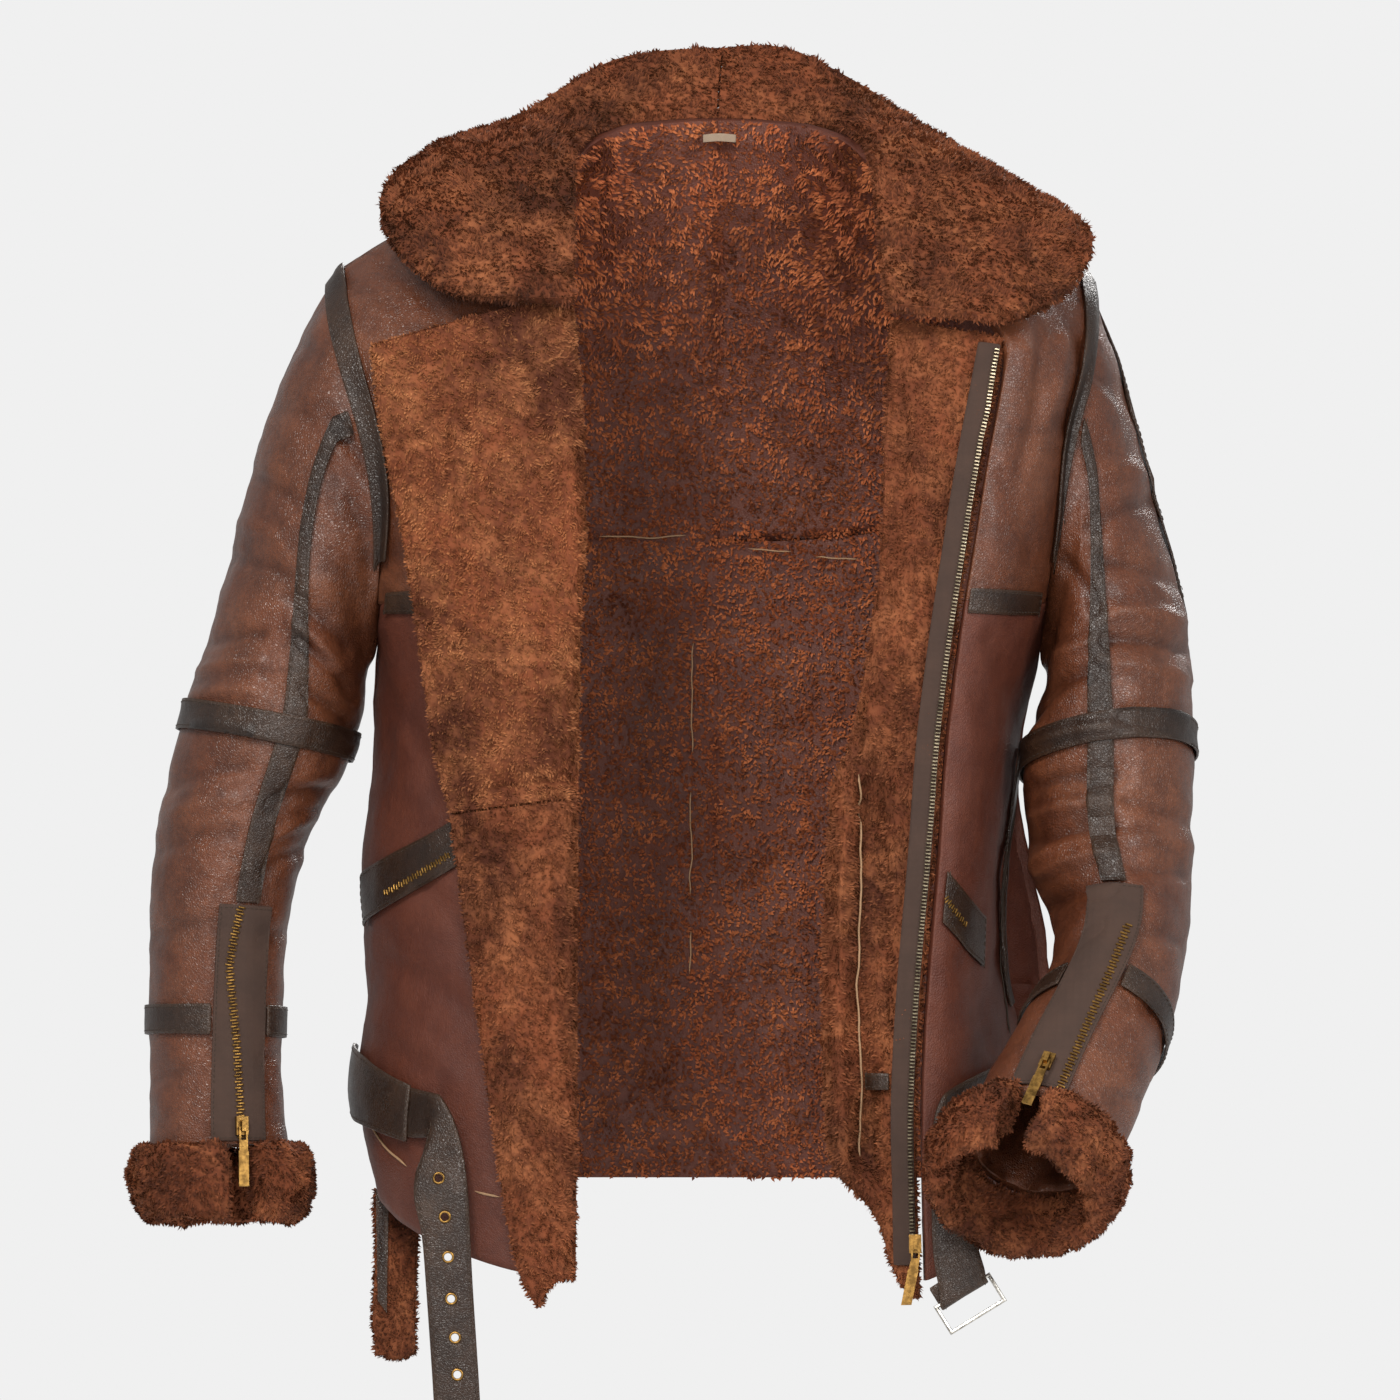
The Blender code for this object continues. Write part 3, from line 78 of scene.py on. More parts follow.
# %% Camera
scene = bpy.context.scene
scene.view_settings.view_transform = "Standard"
DISTANCE = 20.0
VIEW_WIDE = 1400 * PIXEL * MM
lens = bpy.data.cameras.new("camera")
lens.sensor_width = 36
lens.lens = 36 * DISTANCE / VIEW_WIDE
camera = bpy.data.objects.new("camera", lens)
middle_x, middle_z = photo(700, 700)
camera.location = (middle_x, -DISTANCE, middle_z)
camera.rotation_euler = (math.pi / 2, 0, 0)
scene.collection.objects.link(camera)
scene.camera = camera
print("camera lens", round(lens.lens), "mm")

# %% [markdown]
# Four soft lamps: a warm key at the upper left, a weaker fill at the right, one behind that draws
# the outline, and a small one in front that reaches the lining.


# %% Lights
def area_light(name, place, aim, size, power, colour=(1, 1, 1)):
    light = bpy.data.lights.new(name, "AREA")
    light.size = size
    light.energy = power
    light.color = colour
    thing = bpy.data.objects.new(name, light)
    thing.location = place
    thing.rotation_euler = (Vector(aim) - Vector(place)).to_track_quat("-Z", "Y").to_euler()
    scene.collection.objects.link(thing)
    return thing


area_light("key", (-0.9, -2.3, 1.5), (0, 0, -0.25), 0.8, 62, (1.0, 0.97, 0.93))
area_light("fill", (1.7, -2.1, 0.4), (0, 0, -0.3), 0.9, 30, (1.0, 0.98, 0.95))
area_light("behind", (0.5, 2.4, 1.0), (0, 0, -0.3), 1.2, 55, (1.0, 0.98, 0.96))
area_light("inside", (0.05, -2.6, 0.0), (0, 0.1, -0.2), 0.5, 20, (1.0, 0.96, 0.92))
print("lights", len(bpy.data.lights))

# %% [markdown]
# The room is a pale grey. A Light Path node lets the camera see it brighter than it lights the
# jacket, as behind a product photo. The floor lies just below the belt's hanging end.

# %% Room and floor

world = bpy.data.worlds.new("studio")
world.use_nodes = True
BACKGROUND = 0.871  # as the camera sees it
ROOM_LIGHT = 0.42  # as it lights the jacket
seen = world.node_tree.nodes.new("ShaderNodeLightPath").outputs["Is Camera Ray"]
level = world.node_tree.nodes.new("ShaderNodeMapRange")
level.inputs["To Min"].default_value = ROOM_LIGHT
level.inputs["To Max"].default_value = BACKGROUND
world.node_tree.links.new(seen, level.inputs["Value"])
world.node_tree.nodes["Background"].inputs["Color"].default_value = (1, 1, 1, 1)
world.node_tree.links.new(level.outputs["Result"], world.node_tree.nodes["Background"].inputs["Strength"])
scene.world = world

floor_mesh = bpy.data.meshes.new("floor")
FLOOR_HALF = 0.8
FLOOR_Z = -0.84
corners = [(x * FLOOR_HALF, y * FLOOR_HALF, FLOOR_Z) for x, y in ((-1, -1), (1, -1), (1, 1), (-1, 1))]
floor_mesh.from_pydata(corners, [], [(0, 1, 2, 3)])
floor = bpy.data.objects.new("floor", floor_mesh)
scene.collection.objects.link(floor)
floor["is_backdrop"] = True
paint = bpy.data.materials.new("pale_floor")
paint.use_nodes = True
paint.node_tree.nodes["Principled BSDF"].inputs["Base Color"].default_value = (0.8, 0.8, 0.8, 1)
paint.node_tree.nodes["Principled BSDF"].inputs["Roughness"].default_value = 0.9
floor_mesh.materials.append(paint)
print("floor at", FLOOR_Z, "m")

# %% [markdown]
# Materials are built from noise in the jacket's own coordinates, so that neighbouring panels
# share one cloudy pattern. Sizes are in millimetres. The helpers below keep each recipe short.


# %% Helpers for node materials
def srgb(r, g, b):
    """A colour as seen on screen, 0 to 255, as the linear values that Blender works in."""
    return (*(((c / 255 + 0.055) / 1.055) ** 2.4 if c > 10 else c / 255 / 12.92 for c in (r, g, b)), 1.0)


class Nodes:
    """Short calls for building one material's node tree."""

    def __init__(self, name):
        self.material = bpy.data.materials.new(name)
        self.material.use_nodes = True
        self.tree = self.material.node_tree
        self.shader = self.tree.nodes["Principled BSDF"]
        self.coord = self.tree.nodes.new("ShaderNodeTexCoord").outputs["Object"]

    def put(self, kind, inputs=None, **settings):
        node = self.tree.nodes.new("ShaderNode" + kind)
        for key, value in settings.items():
            setattr(node, key, value)
        for key, value in (inputs or {}).items():
            self.feed(value, node.inputs[key])
        return node

    def feed(self, value, socket):
        if isinstance(value, bpy.types.NodeSocket):
            self.tree.links.new(value, socket)
        else:
            socket.default_value = value

    def noise(self, size_mm, detail=3.0, rough=0.55, stretch=(1, 1, 1), distort=0.0):
        place = self.coord
        if stretch != (1, 1, 1):
            place = self.put("Mapping", {"Vector": self.coord, "Scale": stretch}).outputs["Vector"]
        return self.put("TexNoise", {"Vector": place, "Scale": 1000 / size_mm, "Detail": detail,
                                     "Roughness": rough, "Distortion": distort}).outputs["Fac"]

    def ramp(self, value, *stops):
        node = self.put("ValToRGB", {"Fac": value})
        ramp = node.color_ramp
        while len(ramp.elements) < len(stops):
            ramp.elements.new(0.5)
        for element, (at, colour) in zip(ramp.elements, stops):
            element.position = at
            element.color = colour if hasattr(colour, "__len__") else (colour, colour, colour, 1)
        return node.outputs["Color"]

    def mix(self, share, a, b):
        node = self.put("Mix", {0: share}, data_type="RGBA")
        self.feed(a, node.inputs[6])
        self.feed(b, node.inputs[7])
        return node.outputs[2]

    def maths(self, way, a, b):
        node = self.put("Math", operation=way)
        self.feed(a, node.inputs[0])
        self.feed(b, node.inputs[1])
        return node.outputs[0]

    def bump(self, height, depth_mm, below=None):
        node = self.put("Bump", {"Height": height, "Strength": 1.0, "Distance": depth_mm * MM})
        if below is not None:
            self.feed(below, node.inputs["Normal"])
        return node.outputs["Normal"]


print("material helpers", [word for word in vars(Nodes) if not word.startswith("_")])

# %% [markdown]
# Leather gets a fine pebbled grain, high spots lightened partly as rubbed wear and partly as a painted
# highlight, and hollows darkened as painted shade.


# %% Leather
def leather(name, base, light, dark, rough, grain=0.25, coat=0.15):
    """Hide: cloudy base, light ridges that are rubbed wear and painted highlight, hollows darkened as painted
    shade, and a pebbled grain.
    """
    n = Nodes(name)
    cloud = n.noise(70, 4, 0.6, distort=0.4)
    colour = n.mix(n.ramp(cloud, (0.4, 0.0), (0.75, 0.8)), base, light)
    blotch = n.noise(24, 5, 0.62)
    colour = n.mix(n.ramp(blotch, (0.36, 0.5), (0.58, 0.0)), colour, dark)
    # Pointiness: hollows and creases are darkened as painted shade, ridges are lightened as rubbed wear and
    # painted highlight.
    edge = n.put("NewGeometry").outputs["Pointiness"]
    colour = n.mix(n.ramp(edge, (0.44, 0.85), (0.5, 0.0)), colour, dark)
    colour = n.mix(n.ramp(edge, (0.51, 0.0), (0.57, 0.55)), colour, light)
    fine = n.noise(3.0, 3, 0.6)
    colour = n.mix(n.ramp(fine, (0.4, 0.22), (0.6, 0.0)), colour, dark)
    n.feed(colour, n.shader.inputs["Base Color"])
    shine = n.ramp(n.noise(30, 3), (0.3, rough - 0.07), (0.7, rough + 0.09))
    n.feed(shine, n.shader.inputs["Roughness"])
    pebble = n.put("TexVoronoi", {"Vector": n.coord, "Scale": 1000 / PEBBLE},
                   feature="DISTANCE_TO_EDGE").outputs[0]
    relief = n.bump(n.noise(9, 4, 0.6), 0.8)
    relief = n.bump(n.ramp(pebble, (0.0, 0.0), (0.25, 1.0)), grain, relief)
    n.feed(relief, n.shader.inputs["Normal"])
    n.shader.inputs["Coat Weight"].default_value = coat
    n.shader.inputs["Coat Roughness"].default_value = 0.35
    n.shader.inputs["Specular IOR Level"].default_value = 0.42
    return n.material


PEBBLE = 1.7  # width of one pebble of the grain, in mm
print("leather grain", PEBBLE, "mm")

# %% [markdown]
# Fleece is darker at the roots, as painted shade deep in the pile, and lighter at the tips, with the cloudy
# dye marks of real shearling. The locks of pile carry a "tip" value from 0 at the root to 1, which darkens
# their roots as painted shade.


# %% Fleece
def fleece(name, light, middle, dark, tips=False):
    """Clipped wool: cloudy dye marks, clumps a few millimetres wide, roots darkened as painted shade."""
    n = Nodes(name)
    cloud = n.noise(85, 5, 0.62, stretch=(1.15, 1.0, 0.8), distort=0.7)
    colour = n.mix(n.ramp(cloud, (0.36, 0.0), (0.6, 1.0)), dark, middle)
    patch = n.noise(34, 5, 0.65, distort=0.5)
    colour = n.mix(n.ramp(patch, (0.45, 0.0), (0.68, 0.85)), colour, light)
    clump = n.noise(5.5, 3, 0.6)
    colour = n.mix(n.ramp(clump, (0.36, 0.55), (0.54, 0.0)), colour, dark)
    if tips:
        # Painted shade: the locks' roots are darkened, where the pile shades itself.
        root = n.put("Attribute", attribute_name="tip").outputs["Fac"]
        colour = n.mix(n.ramp(root, (0.0, 0.5), (0.75, 0.0)), colour, dark)
        strand = n.put("NewGeometry").outputs["Random Per Island"]
        colour = n.mix(n.ramp(strand, (0.0, 0.38), (0.45, 0.0)), colour, dark)
        colour = n.mix(n.ramp(strand, (0.6, 0.0), (1.0, 0.35)), colour, light)
    n.feed(colour, n.shader.inputs["Base Color"])
    n.shader.inputs["Roughness"].default_value = 0.85
    n.shader.inputs["Specular IOR Level"].default_value = 0.2
    n.shader.inputs["Sheen Weight"].default_value = 0.18
    n.shader.inputs["Sheen Roughness"].default_value = 0.5
    n.shader.inputs["Sheen Tint"].default_value = srgb(196, 130, 84)
    if not tips:
        relief = n.bump(n.noise(5, 3, 0.6), 0.7)
        relief = n.bump(n.noise(1.6, 3, 0.6), 0.25, relief)
        n.feed(relief, n.shader.inputs["Normal"])
    return n.material


print("fleece on bases and on locks")

# %% [markdown]
# Zip tape, metal and thread are small in the picture, so each needs only its own scale right:
# ribs for cloth, patches of tarnish on metal, and twist along a thread.


# %% Cloth, metal and thread
def woven(name, base, dark):
    """Zip tape: a close herringbone weave, seen as fine crossing ribs."""
    n = Nodes(name)
    settings = {"Vector": n.coord, "Scale": WEAVE, "Distortion": 0.6}
    ribs = n.put("TexWave", settings, bands_direction="Z").outputs["Fac"]
    cross = n.put("TexWave", settings, bands_direction="X").outputs["Fac"]
    weave = n.maths("MULTIPLY", ribs, cross)
    colour = n.mix(n.ramp(weave, (0.0, 0.7), (0.7, 0.0)), base, dark)
    colour = n.mix(n.ramp(n.noise(18, 4), (0.35, 0.4), (0.65, 0.0)), colour, dark)
    n.feed(colour, n.shader.inputs["Base Color"])
    n.shader.inputs["Roughness"].default_value = 0.8
    n.feed(n.bump(weave, 0.25), n.shader.inputs["Normal"])
    return n.material


def metal(name, base, dark, rough):
    """Cast metal, with patches of tarnish and uneven shine."""
    n = Nodes(name)
    stain = n.noise(4, 5, 0.65)
    n.feed(n.mix(n.ramp(stain, (0.4, 0.75), (0.62, 0.0)), base, dark), n.shader.inputs["Base Color"])
    n.shader.inputs["Metallic"].default_value = 1.0
    n.feed(n.ramp(n.noise(6, 4), (0.3, rough - 0.1), (0.7, rough + 0.15)), n.shader.inputs["Roughness"])
    n.feed(n.bump(n.noise(1.2, 3), 0.06), n.shader.inputs["Normal"])
    return n.material


def thread(name, colour):
    n = Nodes(name)
    wave = n.put("TexWave", {"Vector": n.coord, "Scale": TWIST}, bands_direction="DIAGONAL")
    dark = n.ramp(wave.outputs["Fac"], (0.2, 0.45), (0.8, 0.0))
    n.feed(n.mix(dark, colour, srgb(60, 42, 30)), n.shader.inputs["Base Color"])
    n.shader.inputs["Roughness"].default_value = 0.7
    return n.material


WEAVE = 420.0  # scale of the zip tape's ribs
TWIST = 700.0  # scale of the thread's twist
print("weave and twist scales", WEAVE, TWIST)

# %% [markdown]
# The finishes. Leather colours are base, light and dark: the light is rubbed wear and a painted highlight on
# ridges, the dark is blotches and painted shade in hollows; then roughness, grain and coat. Fleece colours
# are light, middle and dark. The lining's fleece is painted brighter than the rest, as painted light, because
# little light reaches it.

# %% The jacket's finishes
SMOOTH = leather("smooth_hide", srgb(98, 53, 32), srgb(124, 76, 51), srgb(54, 25, 14), 0.33)
MATT = leather("matt_hide", srgb(90, 44, 29), srgb(100, 52, 35), srgb(70, 31, 21), 0.55, 0.18, 0.0)
TRIM = leather("strip_hide", srgb(42, 26, 17), srgb(70, 50, 36), srgb(22, 13, 8), 0.34, 0.2, 0.06)
WOOL = fleece("fleece", srgb(150, 92, 58), srgb(122, 66, 40), srgb(70, 34, 20))
# The lining's fleece is painted brighter than the fleece outside: painted light for the little light that
# reaches inside.
WOOL_DARK = fleece("fleece_inside", srgb(205, 122, 76), srgb(170, 92, 56), srgb(92, 44, 27))
# The pile comes in copies of one fleece painted lighter or darker by place, as painted light and shade:
# lightest on the upper lapel, darkest on the collar, cuffs and tab.
PILE_LIGHT = fleece("pile_light", srgb(188, 124, 80), srgb(150, 88, 53), srgb(80, 40, 24), tips=True)
PILE = fleece("pile", srgb(164, 100, 64), srgb(126, 70, 42), srgb(66, 33, 20), tips=True)
PILE_DEEP = fleece("pile_deep", srgb(148, 86, 54), srgb(106, 56, 34), srgb(52, 26, 16), tips=True)
# The lining's pile is painted brighter too, as painted light.
PILE_DARK = fleece("pile_inside", srgb(205, 122, 76), srgb(168, 90, 54), srgb(88, 42, 25), tips=True)
TAPE = woven("zip_cloth", srgb(82, 58, 46), srgb(48, 33, 26))
BRASS = metal("old_brass", srgb(176, 136, 74), srgb(84, 62, 34), 0.36)
TEETH = metal("zip_teeth", srgb(168, 156, 132), srgb(80, 70, 54), 0.35)
STEEL = metal("buckle_steel", srgb(206, 204, 198), srgb(120, 116, 108), 0.28)
PALE_THREAD = thread("pale_thread", srgb(176, 140, 104))
DARK_THREAD = thread("dark_thread", srgb(52, 40, 30))
LOOP = woven("loop_cloth", srgb(182, 162, 140), srgb(130, 110, 92))
print("materials", len(bpy.data.materials))

# %% [markdown]
# Each CAD panel is a closed wall. Here it is welded, its triangles are joined back into the quads
# they came from, and the two big sides are told apart from the narrow rims by the sharp edges
# between them. A subdivision surface then rounds the panel, with the rims kept crisp so that
# seams still meet.


# %% Turning a CAD wall into a smooth panel
WELD = 2e-5        # metres between two corners that are one
FLAT_ANGLE = 30    # two triangles within this many degrees may be one quad
SKEW_ANGLE = 75    # how far a quad's corners may be from square, in degrees


def read_sides(name, sharp_degrees):
    """The node as a welded mesh with quads, and its faces' islands, biggest first."""
    made = bmesh.new()
    made.from_mesh(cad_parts[name].data)
    bmesh.ops.remove_doubles(made, verts=made.verts, dist=WELD)
    bmesh.ops.join_triangles(made, faces=made.faces, cmp_seam=False, cmp_sharp=False, cmp_uvs=False,
                             cmp_vcols=False, cmp_materials=False,
                             angle_face_threshold=math.radians(FLAT_ANGLE),
                             angle_shape_threshold=math.radians(SKEW_ANGLE))
    sharp = math.radians(sharp_degrees)
    crease = made.edges.layers.float.get("crease_edge") or made.edges.layers.float.new("crease_edge")
    made.faces.index_update()
    island = {}
    groups = []
    for start in made.faces:
        if start in island:
            continue
        group, queue = [], [start]
        island[start] = len(groups)
        while queue:
            face = queue.pop()
            group.append(face)
            for edge in face.edges:
                if len(edge.link_faces) != 2 or edge.calc_face_angle(0) > sharp:
                    continue
                for other in edge.link_faces:
                    if other not in island:
                        island[other] = len(groups)
                        queue.append(other)
        groups.append(group)
    order = sorted(range(len(groups)), key=lambda g: -sum(f.calc_area() for f in groups[g]))
    rank = {g: r for r, g in enumerate(order)}
    for face in made.faces:
        face.material_index = min(rank[island[face]], 2)
    for edge in made.edges:
        if len(edge.link_faces) == 2 and edge.calc_face_angle(0) > sharp:
            edge[crease] = 1.0
    return made, crease


def finish_piece(name, mesh, body, *nodes):
    """Links a mesh as an object that rides on a body and stands in for these CAD nodes."""
    piece = bpy.data.objects.new(name, mesh)
    scene.collection.objects.link(piece)
    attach(piece, body)
    if nodes:
        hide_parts(*nodes)
    return piece


def subdivided(name, made, levels):
    """The mesh after Catmull-Clark subdivision, as plain data."""
    mesh = bpy.data.meshes.new(name + "_net")
    made.to_mesh(mesh)
    made.free()
    net = bpy.data.objects.new(name + "_net", mesh)
    scene.collection.objects.link(net)
    smooth = net.modifiers.new("smooth", "SUBSURF")
    smooth.levels = levels
    smooth.render_levels = levels
    graph = bpy.context.evaluated_depsgraph_get()
    result = bpy.data.meshes.new_from_object(net.evaluated_get(graph))
    result.name = name
    bpy.data.objects.remove(net)
    return result


def arrays(mesh):
    """Vertices, triangles and each triangle's material index, as arrays in millimetres."""
    points = np.zeros(len(mesh.vertices) * 3)
    mesh.vertices.foreach_get("co", points)
    mesh.calc_loop_triangles()
    tris = np.zeros(len(mesh.loop_triangles) * 3, dtype=int)
    mesh.loop_triangles.foreach_get("vertices", tris)
    kinds = np.zeros(len(mesh.loop_triangles), dtype=int)
    mesh.loop_triangles.foreach_get("material_index", kinds)
    return points.reshape(-1, 3) * 1000, tris.reshape(-1, 3), kinds


def side_normals(points, tris):
    """Vertex normals from these triangles only, and which vertices they touch."""
    a, b, c = (points[tris[:, n]] for n in range(3))
    face = np.cross(b - a, c - a)
    total = np.zeros_like(points)
    for n in range(3):
        np.add.at(total, tris[:, n], face)
    size = np.linalg.norm(total, axis=1)
    touched = size > 0
    total[touched] /= size[touched, None]
    return total, touched


def put_back(mesh, points):
    mesh.vertices.foreach_set("co", (points / 1000).ravel())
    mesh.update()
    mesh.shade_smooth()


def refine(mesh, kind):
    """Splits the faces of one side again, for finer creases there."""
    made = bmesh.new()
    made.from_mesh(mesh)
    edges = {e for f in made.faces if f.material_index == kind for e in f.edges}
    bmesh.ops.subdivide_edges(made, edges=list(edges), cuts=1, use_grid_fill=True)
    made.to_mesh(mesh)
    made.free()


print("walls to read", len(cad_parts))

# %% [markdown]
# Creases. Worn sheepskin folds where the arm bends and where the panels are drawn in by their
# seams. Each crease is a line seen in the photo, with its own width and depth in millimetres:
# below zero is a trough, above zero a ridge. Those on the back are invented, in the same manner.

# %% Crease tables, in the photo's pixels: from x, y to x, y, width and depth in mm
CREASES = {
    "sleeve_left": [
        (232, 470, 300, 505, 9, -1.6), (214, 555, 292, 580, 10, -1.8), (222, 520, 280, 540, 8, 1.2),
        (190, 650, 262, 634, 8, -2.4), (184, 700, 258, 690, 9, 2.2), (196, 672, 262, 662, 6, 1.6),
        (286, 596, 350, 648, 8, -2.0), (300, 640, 356, 700, 7, -2.2), (292, 622, 340, 670, 7, 1.6),
        (305, 690, 356, 738, 6, -1.8), (166, 788, 244, 766, 9, -2.2), (170, 815, 240, 800, 8, 1.5),
        (158, 850, 236, 832, 9, -1.7), (272, 806, 328, 790, 8, -2.4), (274, 838, 318, 818, 7, 1.4),
        (268, 872, 306, 850, 8, -1.8), (154, 936, 214, 922, 9, -1.5), (262, 940, 296, 930, 8, -1.4),
        (330, 420, 384, 500, 9, -1.8), (352, 500, 372, 590, 9, -1.6), (150, 1080, 205, 1068, 8, -1.2),
        (250, 330, 318, 352, 12, -1.2), (240, 400, 312, 420, 12, -1.3), (262, 1060, 282, 1050, 8, -1.2),
    ],
    "sleeve_right": [
        (1104, 640, 1192, 652, 8, -3.0), (1108, 612, 1180, 622, 9, 2.4), (1100, 664, 1190, 680, 8, 1.8),
        (1030, 700, 1100, 668, 8, -2.6), (1034, 672, 1092, 640, 8, 2.0), (1030, 745, 1108, 726, 7, 2.0),
        (1122, 716, 1194, 738, 8, -2.0), (1034, 786, 1112, 776, 8, -2.2), (1030, 842, 1114, 824, 8, -3.0),
        (1034, 815, 1108, 800, 8, 2.2), (1036, 872, 1112, 850, 8, 2.0), (1046, 908, 1112, 880, 8, -2.4),
        (1126, 800, 1192, 824, 9, -1.9), (1132, 868, 1190, 876, 9, -1.8), (1128, 836, 1188, 846, 8, 1.3),
        (1056, 958, 1098, 922, 7, -1.8), (1140, 930, 1180, 940, 9, -1.4), (1092, 372, 1150, 432, 10, -1.6),
        (1086, 528, 1166, 500, 9, -1.8), (1098, 560, 1180, 586, 9, -2.2), (1104, 470, 1158, 478, 9, 1.3),
        (1060, 560, 1094, 610, 8, -2.0), (1120, 1000, 1150, 1010, 8, -1.3), (1120, 1090, 1140, 1096, 8, -1.2),
    ],
    "front_right": [
        (1038, 338, 1020, 470, 9, -2.0), (1062, 336, 1044, 420, 8, 1.8), (1082, 345, 1064, 430, 7, -1.6),
        (1000, 480, 1030, 560, 11, -1.4), (990, 640, 1018, 760, 12, -1.3), (960, 700, 975, 880, 12, 0.9),
        (1000, 850, 985, 1010, 10, -1.3), (960, 960, 990, 1060, 11, -1.1),
    ],
    "front_left": [
        (382, 262, 440, 320, 9, -1.8), (350, 300, 400, 332, 10, 1.4), (372, 640, 384, 780, 12, -1.2),
        (392, 700, 440, 800, 12, -1.1), (384, 960, 470, 1010, 13, -1.4), (378, 1020, 460, 1075, 12, 1.2),
        (420, 880, 480, 960, 12, -1.0),
    ],
}
BACK_CREASES = [
    (500, 300, 470, 470, 12, -2.0), (560, 280, 545, 420, 11, 1.4), (880, 290, 905, 470, 12, -2.0),
    (815, 285, 830, 410, 11, 1.4), (430, 560, 520, 640, 13, -1.8), (980, 560, 900, 650, 13, -1.8),
    (520, 900, 640, 925, 13, -2.0), (760, 930, 900, 900, 13, -2.2), (560, 980, 700, 985, 12, 1.6),
    (720, 1000, 860, 985, 12, -1.4), (430, 860, 480, 960, 12, -1.6), (940, 850, 910, 960, 12, -1.5),
]
GROOVES = {
    "lapel": [
        (405, 372, 500, 350, 9, -4.0), (434, 384, 446, 470, 8, -3.4), (440, 470, 452, 700, 9, -1.8),
        (508, 330, 545, 470, 10, -4.4), (545, 470, 560, 640, 11, -3.4), (560, 640, 566, 780, 10, -2.0),
        (458, 802, 582, 784, 9, -5.0), (452, 816, 582, 800, 9, 2.0), (460, 400, 476, 520, 11, -2.2),
        (500, 420, 505, 560, 12, -2.0), (480, 600, 490, 740, 14, -1.6), (520, 880, 540, 1080, 14, -1.6),
        (500, 1000, 512, 1160, 12, 1.4), (560, 900, 566, 1100, 12, -1.4),
    ],
    "storm_flap": [
        (884, 310, 884, 590, 12, -4.4), (851, 690, 850, 765, 9, -6.0), (858, 765, 857, 1160, 9, -5.0),
        (838, 780, 838, 1150, 22, 2.4), (900, 620, 905, 1050, 18, 1.4), (868, 606, 930, 600, 9, -3.4),
        (905, 330, 930, 540, 14, -1.6), (880, 800, 890, 1000, 16, -1.2), (830, 960, 856, 1010, 10, -1.6),
    ],
    "collar": [
        (470, 150, 540, 250, 26, -3.2), (560, 110, 585, 190, 22, -3.0), (905, 150, 960, 270, 26, -3.2),
        (835, 90, 870, 160, 22, -3.0), (985, 200, 1040, 290, 22, -2.4), (420, 170, 470, 260, 22, -2.4),
        (640, 60, 660, 120, 18, -2.0), (770, 50, 790, 110, 18, -2.0), (500, 190, 520, 290, 20, 2.6),
    ],
}
print("creases", sum(len(v) for v in CREASES.values()) + len(BACK_CREASES))

# %% [markdown]
# A crease is a soft trough with a slight bend, deepest in the middle and fading at both ends. It
# acts on the side of the panel that faces its own way. The sleeves' hidden sides take every
# second row of the front's table again, shifted. Slow random hills keep plain leather uneven.


# %% Crease functions
def crease_depth(points, normals, rows, facing):
    """How far the creases push each point out; rows count on the side that faces this way in y."""
    total = np.zeros(len(points))
    looks = np.clip(normals[:, 1] * facing * 2.2 + 0.35, 0, 1)
    for x1, y1, x2, y2, width, depth in rows:
        a = np.array([(x1 - 705) * PIXEL, (215 - y1) * PIXEL])
        b = np.array([(x2 - 705) * PIXEL, (215 - y2) * PIXEL])
        along = b - a
        size = np.linalg.norm(along)
        flat = points[:, [0, 2]] - a
        t = flat @ along / size ** 2
        bend = 0.06 * size * np.sin(np.pi * np.clip(t, 0, 1))
        off = (flat @ np.array([-along[1], along[0]]) / size - bend) / (width * 0.62)
        past = np.maximum(np.maximum(-t, t - 1), 0) * size / width
        fade = np.clip(1.15 - 1.7 * np.abs(t - 0.5) ** 2.5, 0, 1)
        total += depth * np.exp(-off ** 2 - (1.6 * past) ** 2) * fade * looks
    return total


CREASE_GAIN = 1.7  # the tables' depths look shallow on a thick hide, so all are raised
BROAD, SMALL = 34, 13  # widths of the leather's slow hills, in mm
WAVES = [(rng.normal(size=3), rng.uniform(0, 6.28)) for _ in range(24)]


def lumps(points, size):
    """Smooth random hills about this many millimetres across, from -1 to 1."""
    total = np.zeros(len(points))
    for way, start in WAVES:
        total += np.sin(points @ (way * (3.4 / size)) + start)
    return total / 5.0


def region(name):
    """The crease rows of the panel or tape with this name, and the side that they lie on."""
    side = "left" if "left" in name else "right"
    if name.startswith("back") or name in ("tape_back_cross", "tape_back_centre"):
        return [(BACK_CREASES, 1)]
    if name.startswith(("sleeve", "cuff")) or any(word in name for word in ("seam", "elbow", "forearm")):
        key = "sleeve_" + side
        shifted = [(x1 + 14, y1 + 26, x2 - 6, y2 + 40, w * 1.1, d * 0.9)
                   for x1, y1, x2, y2, w, d in CREASES[key][::2]]
        return [(CREASES[key], -1), (shifted, 1)]
    if name.startswith(("front", "tape_chest", "tape_vent")) or "welt" in name:
        return [(CREASES["front_" + side], -1)]
    return []


def relief(points, normals, name, soft):
    """The whole push-out of a leather side: listed creases, then a little unevenness."""
    total = lumps(points, BROAD) * soft + lumps(points + 400, SMALL) * soft * 0.35
    for rows, facing in region(name):
        total += CREASE_GAIN * crease_depth(points, normals, rows, facing)
    return total


print("random hills", len(WAVES))

# %% [markdown]
# The hide panels. Leather outside, fleece inside: one skin with two faces, so it is one piece
# with two finishes. The leather side takes the creases. The fleece side is set back a little,
# because the pile added later stands up from it.

# %% Body and sleeve panels
BODY = "jacket"
PILE_BACK = 2.2  # how far the fleece's base lies under the solid's face, in mm
SEAM_CLOSE = 0.3  # sewn edges are pressed together
NECK_RISE = 9  # the top of the back tucks up under the collar
HIDE_SHARP = 38  # degrees at an edge between a hide panel's side and its rim
HIDE_UNEVEN = 0.55  # height of the leather's hills, in mm
HIDE = [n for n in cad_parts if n.startswith(("sleeve_", "front_", "back_"))]
furry = {}  # piece name: points, triangles of the fleece side


